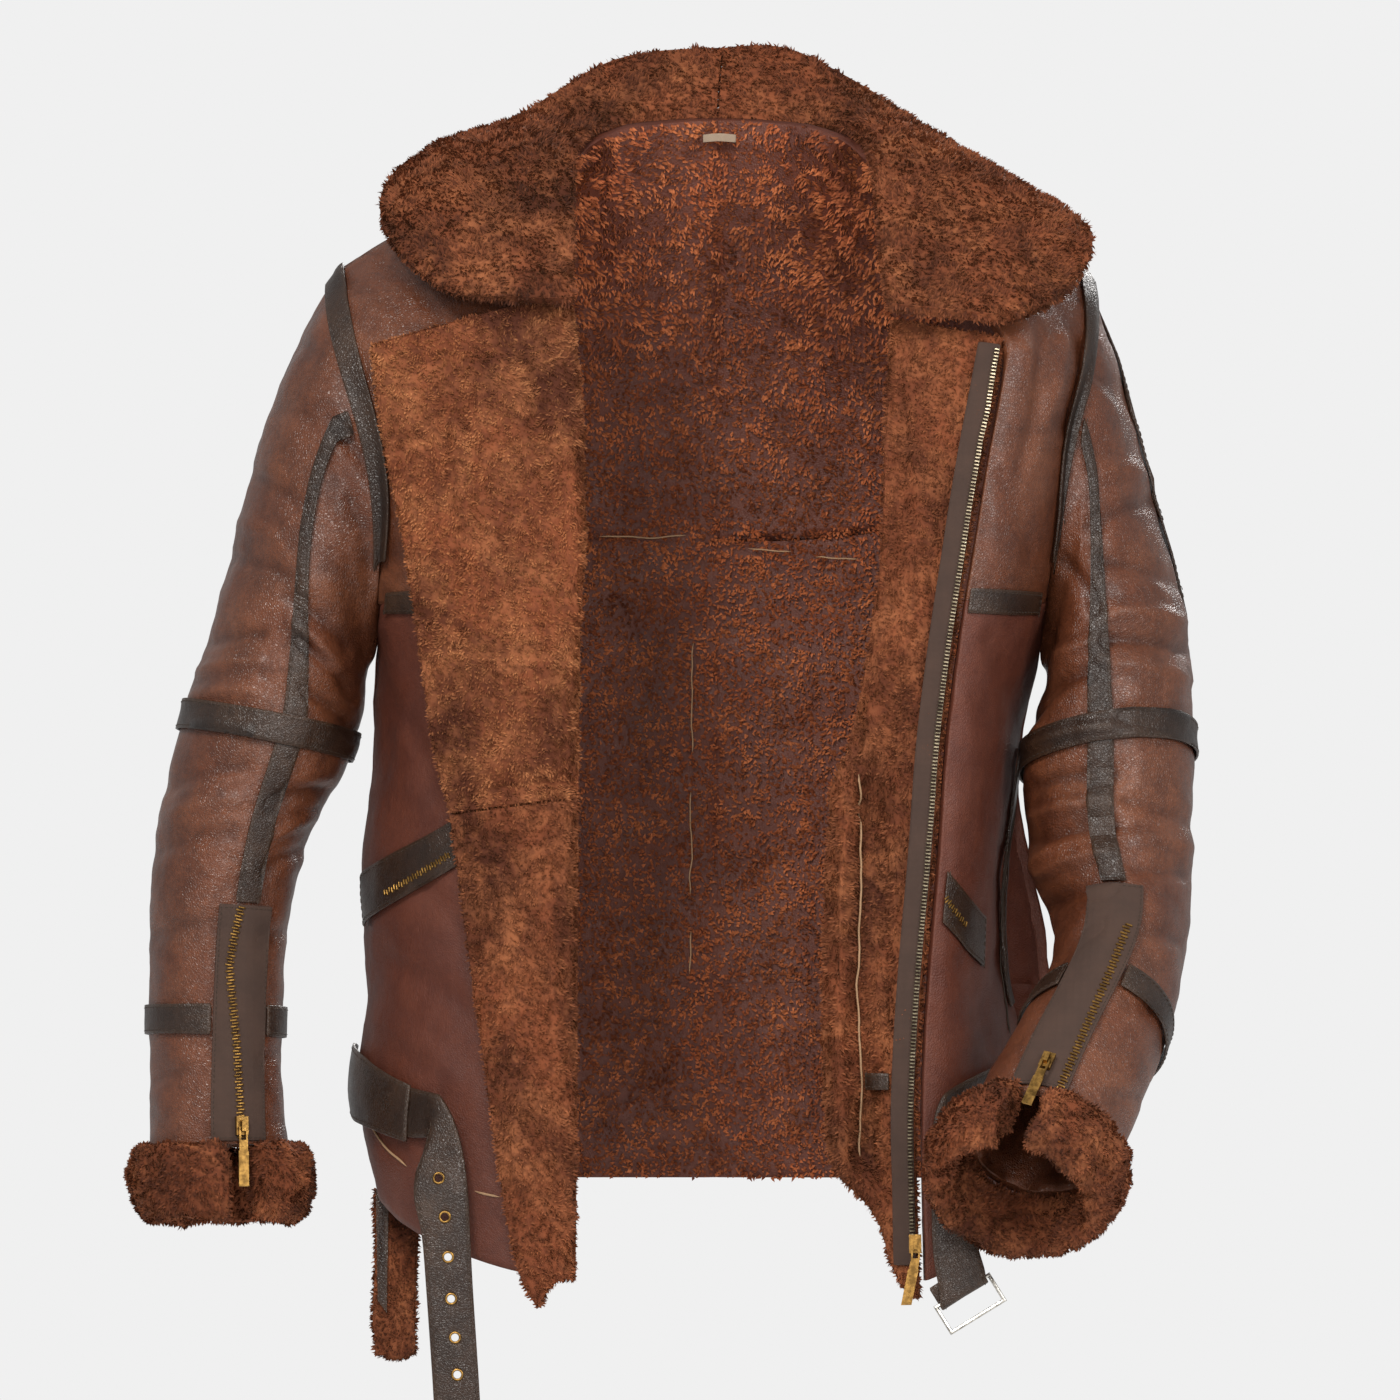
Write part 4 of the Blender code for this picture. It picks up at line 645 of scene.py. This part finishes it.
def hide_panel(name):
    """One skin: leather with its creases outside, fleece inside."""
    made, _ = read_sides(name, HIDE_SHARP)
    facing = sum(f.normal.y * f.calc_area() for f in made.faces if f.material_index == 0)
    if name.startswith("back") and facing < 0:
        for face in made.faces:
            face.material_index = {0: 1, 1: 0, 2: 2}[face.material_index]
    mesh = subdivided(name + "_hide", made, 2)
    if name.startswith(("sleeve", "front")):
        refine(mesh, 0)
    points, tris, kinds = arrays(mesh)
    outer, on_outer = side_normals(points, tris[kinds == 0])
    inner, on_inner = side_normals(points, tris[kinds == 1])
    push = relief(points, outer, name, HIDE_UNEVEN)
    points[on_outer] += (outer * push[:, None])[on_outer]
    deep = on_inner & ~on_outer
    back = PILE_BACK - 0.8 * lumps(points, 12)
    points[deep] -= (inner * back[:, None])[deep]
    rim, on_rim = side_normals(points, tris[kinds == 2])
    points[on_rim] += (rim * SEAM_CLOSE)[on_rim]
    if name.startswith("back_upper"):
        near_middle = np.clip(2.0 - np.abs(points[:, 0] - 10) / 60, 0, 1)
        near_top = np.clip((points[:, 2] - 15) / 32, 0, 1)
        near_neck = near_middle * near_top
        points[:, 2] += NECK_RISE * near_neck
    put_back(mesh, points)
    front = SMOOTH if name.startswith("sleeve") or name.endswith("upper") and "front" in name else MATT
    mesh.materials.clear()
    for finish in (front, WOOL_DARK, WOOL_DARK):
        mesh.materials.append(finish)
    piece = finish_piece(name + "_hide", mesh, BODY, name)
    furry[name] = (points, tris[kinds == 1])
    return piece


hides = {name: hide_panel(name) for name in sorted(HIDE)}
print("hide panels", len(hides), "faces", sum(len(p.data.polygons) for p in hides.values()))

# %% [markdown]
# The fleece pieces that face forward: folded edge, storm flap and collar. Their edges are
# rounder, because there the pile of both sides meets over a thin skin. Grooves show where the
# maker's stitching pulls the pile down.


# %% Folded edge, storm flap, collar, cuffs and tab
FLAP_RISE = 8  # the flap's top tucks up under the collar
FUR_SHARP = 60  # degrees at a sharp edge of a cuff or tab


def fleece_piece(name, sharp, up):
    """A panel whose fleece is the side that looks along up."""
    made, crease = read_sides(name, sharp)
    for edge in made.edges:
        edge[crease] = min(edge[crease], 0.55)
    mesh = subdivided(name + "_fleece", made, 2 if name == "storm_flap" else 3)
    points, tris, kinds = arrays(mesh)
    means = []
    for kind in (0, 1):
        normals, touched = side_normals(points, tris[kinds == kind])
        means.append(float((normals[touched] @ np.array(up)).mean()))
    fur_side = int(means[1] > means[0])
    fur, on_fur = side_normals(points, tris[kinds == fur_side])
    rim, on_rim = side_normals(points, tris[kinds == 2])
    push = -PILE_BACK + 1.0 * lumps(points, 16) + 0.6 * lumps(points + 99, 7)
    for key, rows in GROOVES.items():
        if name.startswith(key):
            push += crease_depth(points, fur, rows, -1)
    points[on_fur] += (fur * push[:, None])[on_fur]
    if name == "storm_flap":
        points[:, 2] += FLAP_RISE * np.clip((points[:, 2] - points[:, 2].max() + 40) / 40, 0, 1)
    only_rim = on_rim & ~on_fur
    points[only_rim] -= (rim * 0.6)[only_rim]
    put_back(mesh, points)
    order = [WOOL, SMOOTH, WOOL] if fur_side == 0 else [SMOOTH, WOOL, WOOL]
    mesh.materials.clear()
    for finish in order:
        mesh.materials.append(finish)
    piece = finish_piece(name + "_fleece", mesh, BODY, name)
    furry[name] = (points, tris[kinds != 1 - fur_side])
    return piece


def fur_solid(name):
    """A cuff or tab: fleece all round."""
    made, crease = read_sides(name, FUR_SHARP)
    for edge in made.edges:
        edge[crease] = 0.0 if name.startswith("cuff") else min(edge[crease], 0.5)
    mesh = subdivided(name + "_fleece", made, 2)
    points, tris, kinds = arrays(mesh)
    normals, _ = side_normals(points, tris)
    push = -0.8 + 1.3 * lumps(points, 15) + 0.6 * lumps(points + 55, 7)
    points += normals * push[:, None]
    put_back(mesh, points)
    mesh.materials.clear()
    for finish in (WOOL, WOOL, WOOL):
        mesh.materials.append(finish)
    piece = finish_piece(name + "_fleece", mesh, BODY, name)
    furry[name] = (points, tris)
    return piece


fleeces = {}
# Columns: the piece, degrees at a sharp edge, and the way that its fur looks.
for name, sharp, up in (("lapel_upper", 70, (0, -1, 0)), ("lapel_lower", 70, (0, -1, 0)),
                        ("storm_flap", 70, (0, -1, 0)), ("collar_left", 55, (0, -0.4, 1)),
                        ("collar_right", 55, (0, -0.4, 1))):
    fleeces[name] = fleece_piece(name, sharp, up)
for name in ("cuff_fur_left", "cuff_fur_right", "fur_tab"):
    fleeces[name] = fur_solid(name)
print("fleece pieces", len(fleeces))

# %% [markdown]
# Pile. Clipped wool stands in small curved locks that lean together in patches. Each lock is a
# narrow blade, bent over, and a slow swirl turns the lean from place to place. Locks are darker at
# the root, as painted shade, and each has its own tone.


# %% Pile on every fleece that shows
def sample(points, tris, spacing):
    """Random places on the triangles, about this far apart, with the faces' normals."""
    a, b, c = (points[tris[:, n]] for n in range(3))
    cross = np.cross(b - a, c - a)
    area = np.linalg.norm(cross, axis=1) / 2
    count = int(area.sum() / spacing ** 2)
    pick = rng.choice(len(tris), size=count, p=area / area.sum())
    u, v = rng.random(count), rng.random(count)
    flip = u + v > 1
    u[flip], v[flip] = 1 - u[flip], 1 - v[flip]
    place = a[pick] + (b - a)[pick] * u[:, None] + (c - a)[pick] * v[:, None]
    normals, _ = side_normals(points, tris)
    smooth = (normals[tris[pick, 0]] * (1 - u - v)[:, None] + normals[tris[pick, 1]] * u[:, None]
              + normals[tris[pick, 2]] * v[:, None])
    smooth /= np.linalg.norm(smooth, axis=1)[:, None]
    return place, smooth


def pile(name, spacing, tall, wide, lean, finish, keep=None):
    """A coat of bent blades over the fleece of one piece."""
    points, tris = furry[name]
    if keep is not None:
        tris = tris[keep(points[tris].mean(axis=1))]
    root, normal = sample(points, tris, spacing)
    count = len(root)
    swirl = 2.2 * lumps(root, 30) + 1.1 * lumps(root + 70, 9) + rng.normal(0, 0.55, count)
    down = np.array([0.0, 0.0, -1.0]) - normal * (normal @ np.array([0.0, 0.0, -1.0]))[:, None]
    down /= np.maximum(np.linalg.norm(down, axis=1), 1e-6)[:, None]
    side = np.cross(normal, down)
    way = down * np.cos(swirl)[:, None] + side * np.sin(swirl)[:, None]
    across = np.cross(normal, way)
    height = tall * rng.uniform(0.65, 1.2, count)[:, None]
    width = wide * rng.uniform(0.7, 1.3, count)[:, None] / 2
    reach = lean * rng.uniform(0.5, 1.3, count)[:, None]
    root = root - normal * 0.6
    bend = root + normal * height * 0.62 + way * reach * 0.4
    tip = root + normal * height * 0.95 + way * reach
    blades = np.stack([root - across * width, root + across * width, bend + across * width * 0.75,
                       bend - across * width * 0.75, tip], axis=1).reshape(-1, 3)
    first = np.arange(count) * 5
    quads = np.stack([first, first + 1, first + 2, first + 3], axis=1)
    tips = np.stack([first + 3, first + 2, first + 4], axis=1)
    mesh = bpy.data.meshes.new(name + "_pile")
    mesh.from_pydata((blades / 1000).tolist(), [], quads.tolist() + tips.tolist())
    shade = mesh.attributes.new("tip", "FLOAT", "POINT")
    shade.data.foreach_set("value", np.tile([0.0, 0.0, 0.6, 0.6, 1.0], count))
    mesh.materials.append(finish)
    mesh.shade_smooth()
    piece = finish_piece(name + "_pile", mesh, BODY)
    return piece


def seen_inside(centres):
    """The part of the lining that the open front shows, with a margin."""
    return (centres[:, 0] > -150) & (centres[:, 0] < 165)


# Columns: the pieces, then a lock's spacing, height, width and lean in mm, and its finish.
COATS = (
    (("lapel_upper",), (1.75, 3.2, 1.4, 2.3, PILE_LIGHT)),
    (("lapel_lower", "storm_flap"), (1.8, 3.4, 1.45, 2.3, PILE)),
    (("collar_left", "collar_right"), (1.85, 3.8, 1.6, 2.8, PILE_DEEP)),
    (("cuff_fur_left", "cuff_fur_right", "fur_tab"), (1.8, 3.2, 1.6, 2.4, PILE_DEEP)),
)
LINING_COAT = (2.2, 3.8, 2.0, 2.9, PILE_DARK)
for names, coat in COATS:
    for name in names:
        pile(name, *coat)
for name in sorted(HIDE):
    if name.startswith("back"):
        pile(name, *LINING_COAT, keep=seen_inside)

# %% [markdown]
# Strip leather. The tapes that cover the seams are the jacket's drawing: dark, a little glossy,
# and sewn down along both edges. The same strip leather makes the belt, its loop, the pocket
# welts and the keeper.

# %% Tapes, welts, belt and zip tapes
STRIPS = [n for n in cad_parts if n.startswith(("tape_", "pocket_welt", "belt", "flap_keeper"))]
CLOTHS = ["cuff_placket_left", "cuff_placket_right", "zip_tape_left", "zip_tape_right"]
STRIP_SHARP = 40  # degrees at an edge between a strip's face and its rim
edges_of = {}  # strip name: points, triangles of the face that shows


def strip(name, finish, soft):
    """A band of leather or cloth that follows the creases of what it is sewn on."""
    made, crease = read_sides(name, STRIP_SHARP)
    for edge in made.edges:
        edge[crease] = min(edge[crease], 0.8)
    mesh = subdivided(name + "_strip", made, 2)
    points, tris, kinds = arrays(mesh)
    all_round, _ = side_normals(points, tris)
    push = relief(points, all_round, name, soft)
    look, _ = side_normals(points, tris[kinds == 0])
    under, on_under = side_normals(points, tris[kinds == 1])
    direction = look.copy()
    direction[on_under] = -under[on_under]
    none = np.linalg.norm(direction, axis=1) < 0.5
    direction[none] = 0
    points += direction * push[:, None]
    put_back(mesh, points)
    mesh.materials.clear()
    for _ in range(3):
        mesh.materials.append(finish)
    piece = finish_piece(name + "_strip", mesh, BODY, name)
    edges_of[name] = (points, tris[kinds == 0])
    return piece


strips = {name: strip(name, TRIM, 0.25) for name in sorted(STRIPS)}
cloths = {name: strip(name, TAPE, 0.15) for name in CLOTHS}
cloths["hang_loop"] = strip("hang_loop", LOOP, 0.05)
print("strips", len(strips), "cloths", len(cloths))

# %% [markdown]
# Stitches. A walking-foot machine sews both edges of each tape, about 2 mm in, five stitches to
# the inch. The edge of each strip's top face is followed round, and a short capsule of thread is
# laid at every step.


# %% Stitches round every strip
def boundary_loops(points, tris):
    """The ordered edges of an open patch of triangles, as lists of vertex numbers."""
    seen = {}
    for tri in tris.tolist():
        for n in range(3):
            a, b = tri[n], tri[(n + 1) % 3]
            if (b, a) in seen:
                del seen[(b, a)]
            else:
                seen[(a, b)] = True
    following = {a: b for a, b in seen}
    loops = []
    while following:
        start, _ = next(iter(following.items()))
        loop = [start]
        while loop[-1] in following:
            loop.append(following.pop(loop[-1]))
            if loop[-1] == start:
                break
        loops.append(loop)
    return loops


def walk(line, step):
    """Places and directions along a polyline, evenly spaced."""
    gaps = np.linalg.norm(np.diff(line, axis=0), axis=1)
    along = np.concatenate([[0], np.cumsum(gaps)])
    count = int(along[-1] / step)
    stops = (np.arange(count) + 0.5) * step
    spots = np.stack([np.interp(stops, along, line[:, n]) for n in range(3)], axis=1)
    further = np.minimum(stops + 0.6, along[-1])
    ahead = np.stack([np.interp(further, along, line[:, n]) for n in range(3)], axis=1)
    way = ahead - spots
    way /= np.maximum(np.linalg.norm(way, axis=1), 1e-9)[:, None]
    return spots, way


def capsules(name, spots, ways, ups, long, thick, finish):
    """Short threads as four-sided spindles, flattened where they sink into the leather."""
    count = len(spots)
    sides = np.cross(ways, ups)
    sides /= np.maximum(np.linalg.norm(sides, axis=1), 1e-9)[:, None]
    rings = []
    for share, fat in ((-0.5, 0.0), (-0.32, 1.0), (0.32, 1.0), (0.5, 0.0)):
        for n in range(4):
            a = math.pi / 2 * n
            rings.append(spots + ways * long * share + sides * thick * fat * math.cos(a) / 2
                         + ups * thick * (fat * math.sin(a) * 0.5 - (0.3 if fat == 0 else 0)))
    points = np.stack(rings, axis=1).reshape(-1, 3)
    first = np.arange(count)[:, None] * 16
    faces = []
    for r in range(3):
        for n in range(4):
            m = (n + 1) % 4
            faces.append(first + np.array([[r * 4 + n, r * 4 + m, r * 4 + 4 + m, r * 4 + 4 + n]]))
    mesh = bpy.data.meshes.new(name)
    mesh.from_pydata((points / 1000).tolist(), [], np.concatenate(faces).tolist())
    mesh.materials.append(finish)
    mesh.shade_smooth()
    return finish_piece(name, mesh, BODY)


def edge_stitches(name, inset, step, long, thick, finish):
    """One row of stitches round a strip, this far in from its edge."""
    points, tris = edges_of[name]
    normals, _ = side_normals(points, tris)
    spots, ways, ups = [], [], []
    for loop in boundary_loops(points, tris):
        line = points[loop]
        if np.linalg.norm(np.diff(line, axis=0), axis=1).sum() < SHORTEST:
            continue
        up_line = normals[loop]
        s, w = walk(line, step)
        near = [int(np.argmin(((line - p) ** 2).sum(axis=1))) for p in s]
        up = up_line[near]
        inwards = np.cross(up, w)
        spots.append(s + inwards * inset + up * 0.1)
        ways.append(w)
        ups.append(up)
    if not spots:
        return None
    return capsules(name + "_stitches", np.concatenate(spots), np.concatenate(ways), np.concatenate(ups),
                    long, thick, finish)


SHORTEST = 25  # mm; the rim of an eyelet hole is shorter and isn't sewn
# Distance from the edge, step, length and thickness of a stitch, in mm.
TAPE_STITCH = (1.9, 4.8, 3.6, 0.6)
PLACKET_STITCH = (1.6, 3.4, 2.5, 0.5)
sewn = [edge_stitches(name, *TAPE_STITCH, DARK_THREAD) for name in strips]
sewn += [edge_stitches(name, *PLACKET_STITCH, DARK_THREAD)
         for name in ("cuff_placket_left", "cuff_placket_right")]
print("stitched strips", len([s for s in sewn if s]))

# %% [markdown]
# Zips. Metal teeth are cast on to the tape's edge, one every few millimetres. The front zip runs
# up the right edge beside the storm flap; short ones close the sleeves. Each tooth is placed by
# looking straight at the jacket and dropping it on what lies there.


# %% Zip teeth
def tree_of(*pieces):
    graph = bpy.context.evaluated_depsgraph_get()
    return [BVHTree.FromObject(piece, graph) for piece in pieces]


def drop(trees, x, z):
    """The nearest surface straight behind a place in the picture, in mm, with its normal."""
    best = None
    for tree in trees:
        hit, normal, _, far = tree.ray_cast(Vector((x, -600, z)) * MM, Vector((0, 1, 0)))
        if hit is not None and (best is None or far < best[2]):
            best = (np.array(hit) * 1000, np.array(normal), far)
    return best


def teeth_row(name, line, trees, step, wide, long, tall, finish, stagger):
    """Teeth along a line in the picture; two rows meet where the zip is closed."""
    picture = np.array([(*photo(px, py),) for px, py in line]) * 1000
    flat = np.stack([picture[:, 0], np.zeros(len(picture)), picture[:, 1]], axis=1)
    spots, _ = walk(flat, step)
    faces, points = [], []
    placed = []
    for spot in spots:
        found = drop(trees, spot[0], spot[2])
        if found is not None:
            placed.append(found)
    for n, (spot, normal, _) in enumerate(placed):
        after = placed[min(n + 1, len(placed) - 1)][0]
        before = placed[max(n - 1, 0)][0]
        along = (after - before) / max(np.linalg.norm(after - before), 1e-9)
        side = np.cross(along, normal)
        side /= np.linalg.norm(side)
        up = np.cross(side, along)
        shift = stagger * (1 if n % 2 else -1)
        first = len(points)
        for h, grow in ((-0.2, 1.0), (tall * 0.7, 1.0), (tall, 0.6)):
            for a, b in ((-1, -1), (1, -1), (1, 1), (-1, 1)):
                aside = side * (shift + a * wide / 2 * grow)
                points.append(spot + aside + along * b * long / 2 * grow + up * h)
        for r in (0, 4):
            low = first + r
            for m in range(4):
                q = (m + 1) % 4
                faces.append((low + m, low + q, low + 4 + q, low + 4 + m))
        faces.append(tuple(first + 8 + m for m in range(4)))
    mesh = bpy.data.meshes.new(name)
    mesh.from_pydata((np.array(points) / 1000).tolist(), [], faces)
    mesh.materials.append(finish)
    return finish_piece(name, mesh, BODY)


def tape_edge(name, inset):
    """A line in the picture along the right edge of a zip tape."""
    points = edges_of[name][0]
    line = []
    for z in np.arange(points[:, 2].max() - 4, points[:, 2].min() + 4, -20):
        near = points[np.abs(points[:, 2] - z) < 8]
        line.append((near[:, 0].max() - inset, z))
    return [(x / PIXEL + 705, 215 - z / PIXEL) for x, z in line]


# Step, width, length and height of a tooth, in mm.
FRONT_TOOTH = (2.3, 3.6, 1.3, 1.6)
CUFF_TOOTH = (2.0, 4.6, 1.2, 1.3)
POCKET_TOOTH = (1.8, 3.6, 1.1, 1.0)
front_trees = tree_of(cloths["zip_tape_right"])
teeth_row("front_teeth", tape_edge("zip_tape_right", 2.2), front_trees, *FRONT_TOOTH, TEETH, 0.0)
CUFF_LINES = {
    "left": ((243, 905), (236, 935), (231, 965), (234, 1000), (238, 1040), (241, 1090), (244, 1146)),
    "right": ((1125, 922), (1108, 965), (1088, 1010), (1068, 1055), (1048, 1100), (1036, 1140)),
}
for side, line in CUFF_LINES.items():
    trees = tree_of(cloths["cuff_placket_" + side])
    teeth_row("cuff_teeth_" + side, line, trees, *CUFF_TOOTH, BRASS, 0.6)
teeth_row("pocket_teeth_left", ((385, 893), (402, 884), (420, 873), (438, 862), (453, 852)),
          tree_of(strips["pocket_welt_left"]), *POCKET_TOOTH, BRASS, 0.5)
teeth_row("pocket_teeth_right", ((942, 893), (950, 906), (958, 916), (965, 925)),
          tree_of(strips["pocket_welt_right"]), *POCKET_TOOTH, BRASS, 0.5)
print("teeth rows", 1 + len(CUFF_LINES) + 2)

# %% [markdown]
# Loose pale threads run along the lining's seams, and raw edges of skin show pale at the left
# front's hem and beside the storm flap. They are drawn in the picture and laid on what is there.


# %% Threads and raw edges
def cord_on(name, lines, trees, lift, thick, finish):
    """Threads or raw edges drawn in the picture, laid on what lies there, as six-sided cords."""
    points, faces = [], []
    for line in lines:
        picture = np.array([photo(px, py) for px, py in line]) * 1000
        flat = np.stack([picture[:, 0], np.zeros(len(picture)), picture[:, 1]], axis=1)
        spots, _ = walk(flat, 4.0)
        found = [drop(trees, s[0] + 0.5 * math.sin(s[2] * 0.4), s[2] + 0.4 * math.sin(s[0] * 0.5))
                 for s in spots]
        found = [f for f in found if f is not None]
        if len(found) < 3:
            continue
        track = np.array([f[0] + f[1] * lift for f in found])
        track[1:-1] = (track[:-2] + track[1:-1] + track[2:]) / 3
        first = len(points)
        for n, spot in enumerate(track):
            along = track[min(n + 1, len(track) - 1)] - track[max(n - 1, 0)]
            along /= max(np.linalg.norm(along), 1e-9)
            side = np.cross(along, found[n][1])
            side /= max(np.linalg.norm(side), 1e-9)
            up = np.cross(side, along)
            fat = thick / 2 * (0.2 if n in (0, len(track) - 1) else 1.0)
            for m in range(6):
                a = math.pi / 3 * m
                points.append(spot + side * fat * math.cos(a) + up * fat * math.sin(a))
        for n in range(len(track) - 1):
            ring = first + n * 6
            for m in range(6):
                q = (m + 1) % 6
                faces.append((ring + m, ring + q, ring + 6 + q, ring + 6 + m))
    mesh = bpy.data.meshes.new(name)
    mesh.from_pydata((np.array(points) / 1000).tolist(), [], faces)
    mesh.materials.append(finish)
    mesh.shade_smooth()
    return finish_piece(name, mesh, BODY)


backs = tree_of(*(hides[n] for n in hides if n.startswith("back")))
cord_on("inside_threads", (((692, 640), (691, 700), (693, 760)), ((690, 790), (691, 850), (689, 905)),
                           ((690, 930), (689, 985)), ((597, 535), (640, 537), (690, 534)),
                           ((745, 549), (800, 552)), ((815, 556), (868, 560))), backs, 4.6, 1.0, PALE_THREAD)
lefts = tree_of(hides["front_left_lower"])
cord_on("left_raw_edge", (((364, 1104), (374, 1128), (390, 1150), (414, 1167)), ((474, 1188), (510, 1196))),
        lefts, 0.5, 1.6, PALE_THREAD)
rights = tree_of(fleeces["storm_flap"])
cord_on("flap_raw_edge", (((856, 770), (857, 900), (855, 1000), (858, 1080), (856, 1160)),), rights, 2.4, 1.5,
        PALE_THREAD)
vents = tree_of(hides["front_right_lower"], strips["tape_vent_right"])
cord_on("vent_edge", (((1018, 792), (1004, 880), (999, 960), (1009, 1038)),), vents, 0.5, 1.3, DARK_THREAD)
print("threads and raw edges", 4)

# %% [markdown]
# A dark band of strip leather runs down the fur tab.


# %% Band on the fur tab
def patch_on(name, corners, trees, resting_y, lift, thick, finish):
    """A thin strip drawn in the picture by its left and right edges, laid over what lies there."""
    points, faces = [], []
    rows, cols = 24, 4
    top_left, top_right, low_left, low_right = [np.array(photo(*c)) * 1000 for c in corners]
    for side in (0, 1):
        for r in range(rows + 1):
            left = top_left + (low_left - top_left) * r / rows
            right = top_right + (low_right - top_right) * r / rows
            for c in range(cols + 1):
                x, z = left + (right - left) * c / cols
                found = drop(trees, x, z)
                y = found[0][1] if found is not None else resting_y
                points.append(np.array([x, y - lift - (0 if side else thick), z]))
    layer = (rows + 1) * (cols + 1)
    for r in range(rows):
        for c in range(cols):
            a = r * (cols + 1) + c
            quad = (a, a + cols + 1, a + cols + 2, a + 1)
            faces += [quad, tuple(layer + v for v in reversed(quad))]
    ring = (list(range(cols + 1)) + [r * (cols + 1) + cols for r in range(1, rows + 1)]
            + [rows * (cols + 1) + c for c in range(cols - 1, -1, -1)]
            + [r * (cols + 1) for r in range(rows - 1, 0, -1)])
    for n, v in enumerate(ring):
        w = ring[(n + 1) % len(ring)]
        faces.append((v, w, layer + w, layer + v))
    mesh = bpy.data.meshes.new(name)
    mesh.from_pydata((np.array(points) / 1000).tolist(), [], faces)
    mesh.materials.append(finish)
    return finish_piece(name, mesh, BODY)


tab = tree_of(fleeces["fur_tab"])
patch_on("tab_band", ((376, 1188), (389, 1188), (378, 1300), (387, 1312)), tab,
         float(furry["fur_tab"][0][:, 1].min()), 2.0, 1.2, TRIM)
print("band on the fur tab")

# %% [markdown]
# Sliders, pulls and the buckle frame keep their CAD shape, because they are hard and already as
# fine as the picture shows. They get aged brass or steel.

# %% Metal
BRASS_NODES = ("cuff_slider_left", "cuff_slider_right", "cuff_pull_left", "cuff_pull_right",
               "zip_slider", "zip_pull")
for name in BRASS_NODES:
    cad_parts[name].data.materials.clear()
    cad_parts[name].data.materials.append(BRASS)
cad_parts["buckle_frame"].data.materials.clear()
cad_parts["buckle_frame"].data.materials.append(STEEL)

print("brass", len(BRASS_NODES), "steel 1")

# %% [markdown]
# Six rolled eyelets line the belt's holes. Their places are those of the holes in part.py, in mm.

# %% Eyelets
EYELETS = ((-172, -624), (-168, -649), (-166, -675), (-164, -702), (-161.5, -727), (-160, -751))


RING_RADIUS = 3.3  # to the middle of the rolled edge, in mm
ROLL_RADIUS = 0.8  # of the rolled edge itself
BESIDE_HOLE = 3.6  # sideways from a hole's middle to leather


def eyelet_rings():
    """Small rolled metal rings round the belt's holes."""
    trees = tree_of(strips["belt"])
    points, faces = [], []
    around, across = 20, 6
    for x, z in EYELETS:
        found = drop(trees, x + BESIDE_HOLE, z)
        if found is None:
            continue
        spot = np.array([x, found[0][1], z])
        first = len(points)
        for n in range(around):
            a = 2 * math.pi * n / around
            for m in range(across):
                b = 2 * math.pi * m / across
                r = RING_RADIUS + ROLL_RADIUS * math.cos(b)
                points.append(spot + np.array([r * math.cos(a), -0.2 - 0.6 * math.sin(b), r * math.sin(a)]))
        for n in range(around):
            for m in range(across):
                p, q = (n + 1) % around, (m + 1) % across
                faces.append((first + n * across + m, first + p * across + m, first + p * across + q,
                              first + n * across + q))
    mesh = bpy.data.meshes.new("eyelet_rings")
    mesh.from_pydata((np.array(points) / 1000).tolist(), [], faces)
    mesh.materials.append(BRASS)
    mesh.shade_smooth()
    return finish_piece("eyelet_rings", mesh, BODY)


eyelet_rings()
print("eyelets", len(EYELETS))

# %% [markdown] No pattern was drawn for this jacket, because its panels were modelled in their
# filled-out form.

# %% Read the surface of every sheet but the cuffs' fur
for name, piece in {**hides, **fleeces}.items():
    if name.startswith("cuff_fur"):
        continue
    points, tris, _ = arrays(piece.data)

# %% [markdown]
# The finished scene may be a little larger than the CAD part, by the pile that stands out of it.

# %% Measure the result and finish
model_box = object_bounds()
larger, smaller = (*cad_box[0], *model_box[1]), (*model_box[0], *cad_box[1])
print("grown by, mm:", [round((a - b) * 1000, 1) for a, b in zip(larger, smaller)])
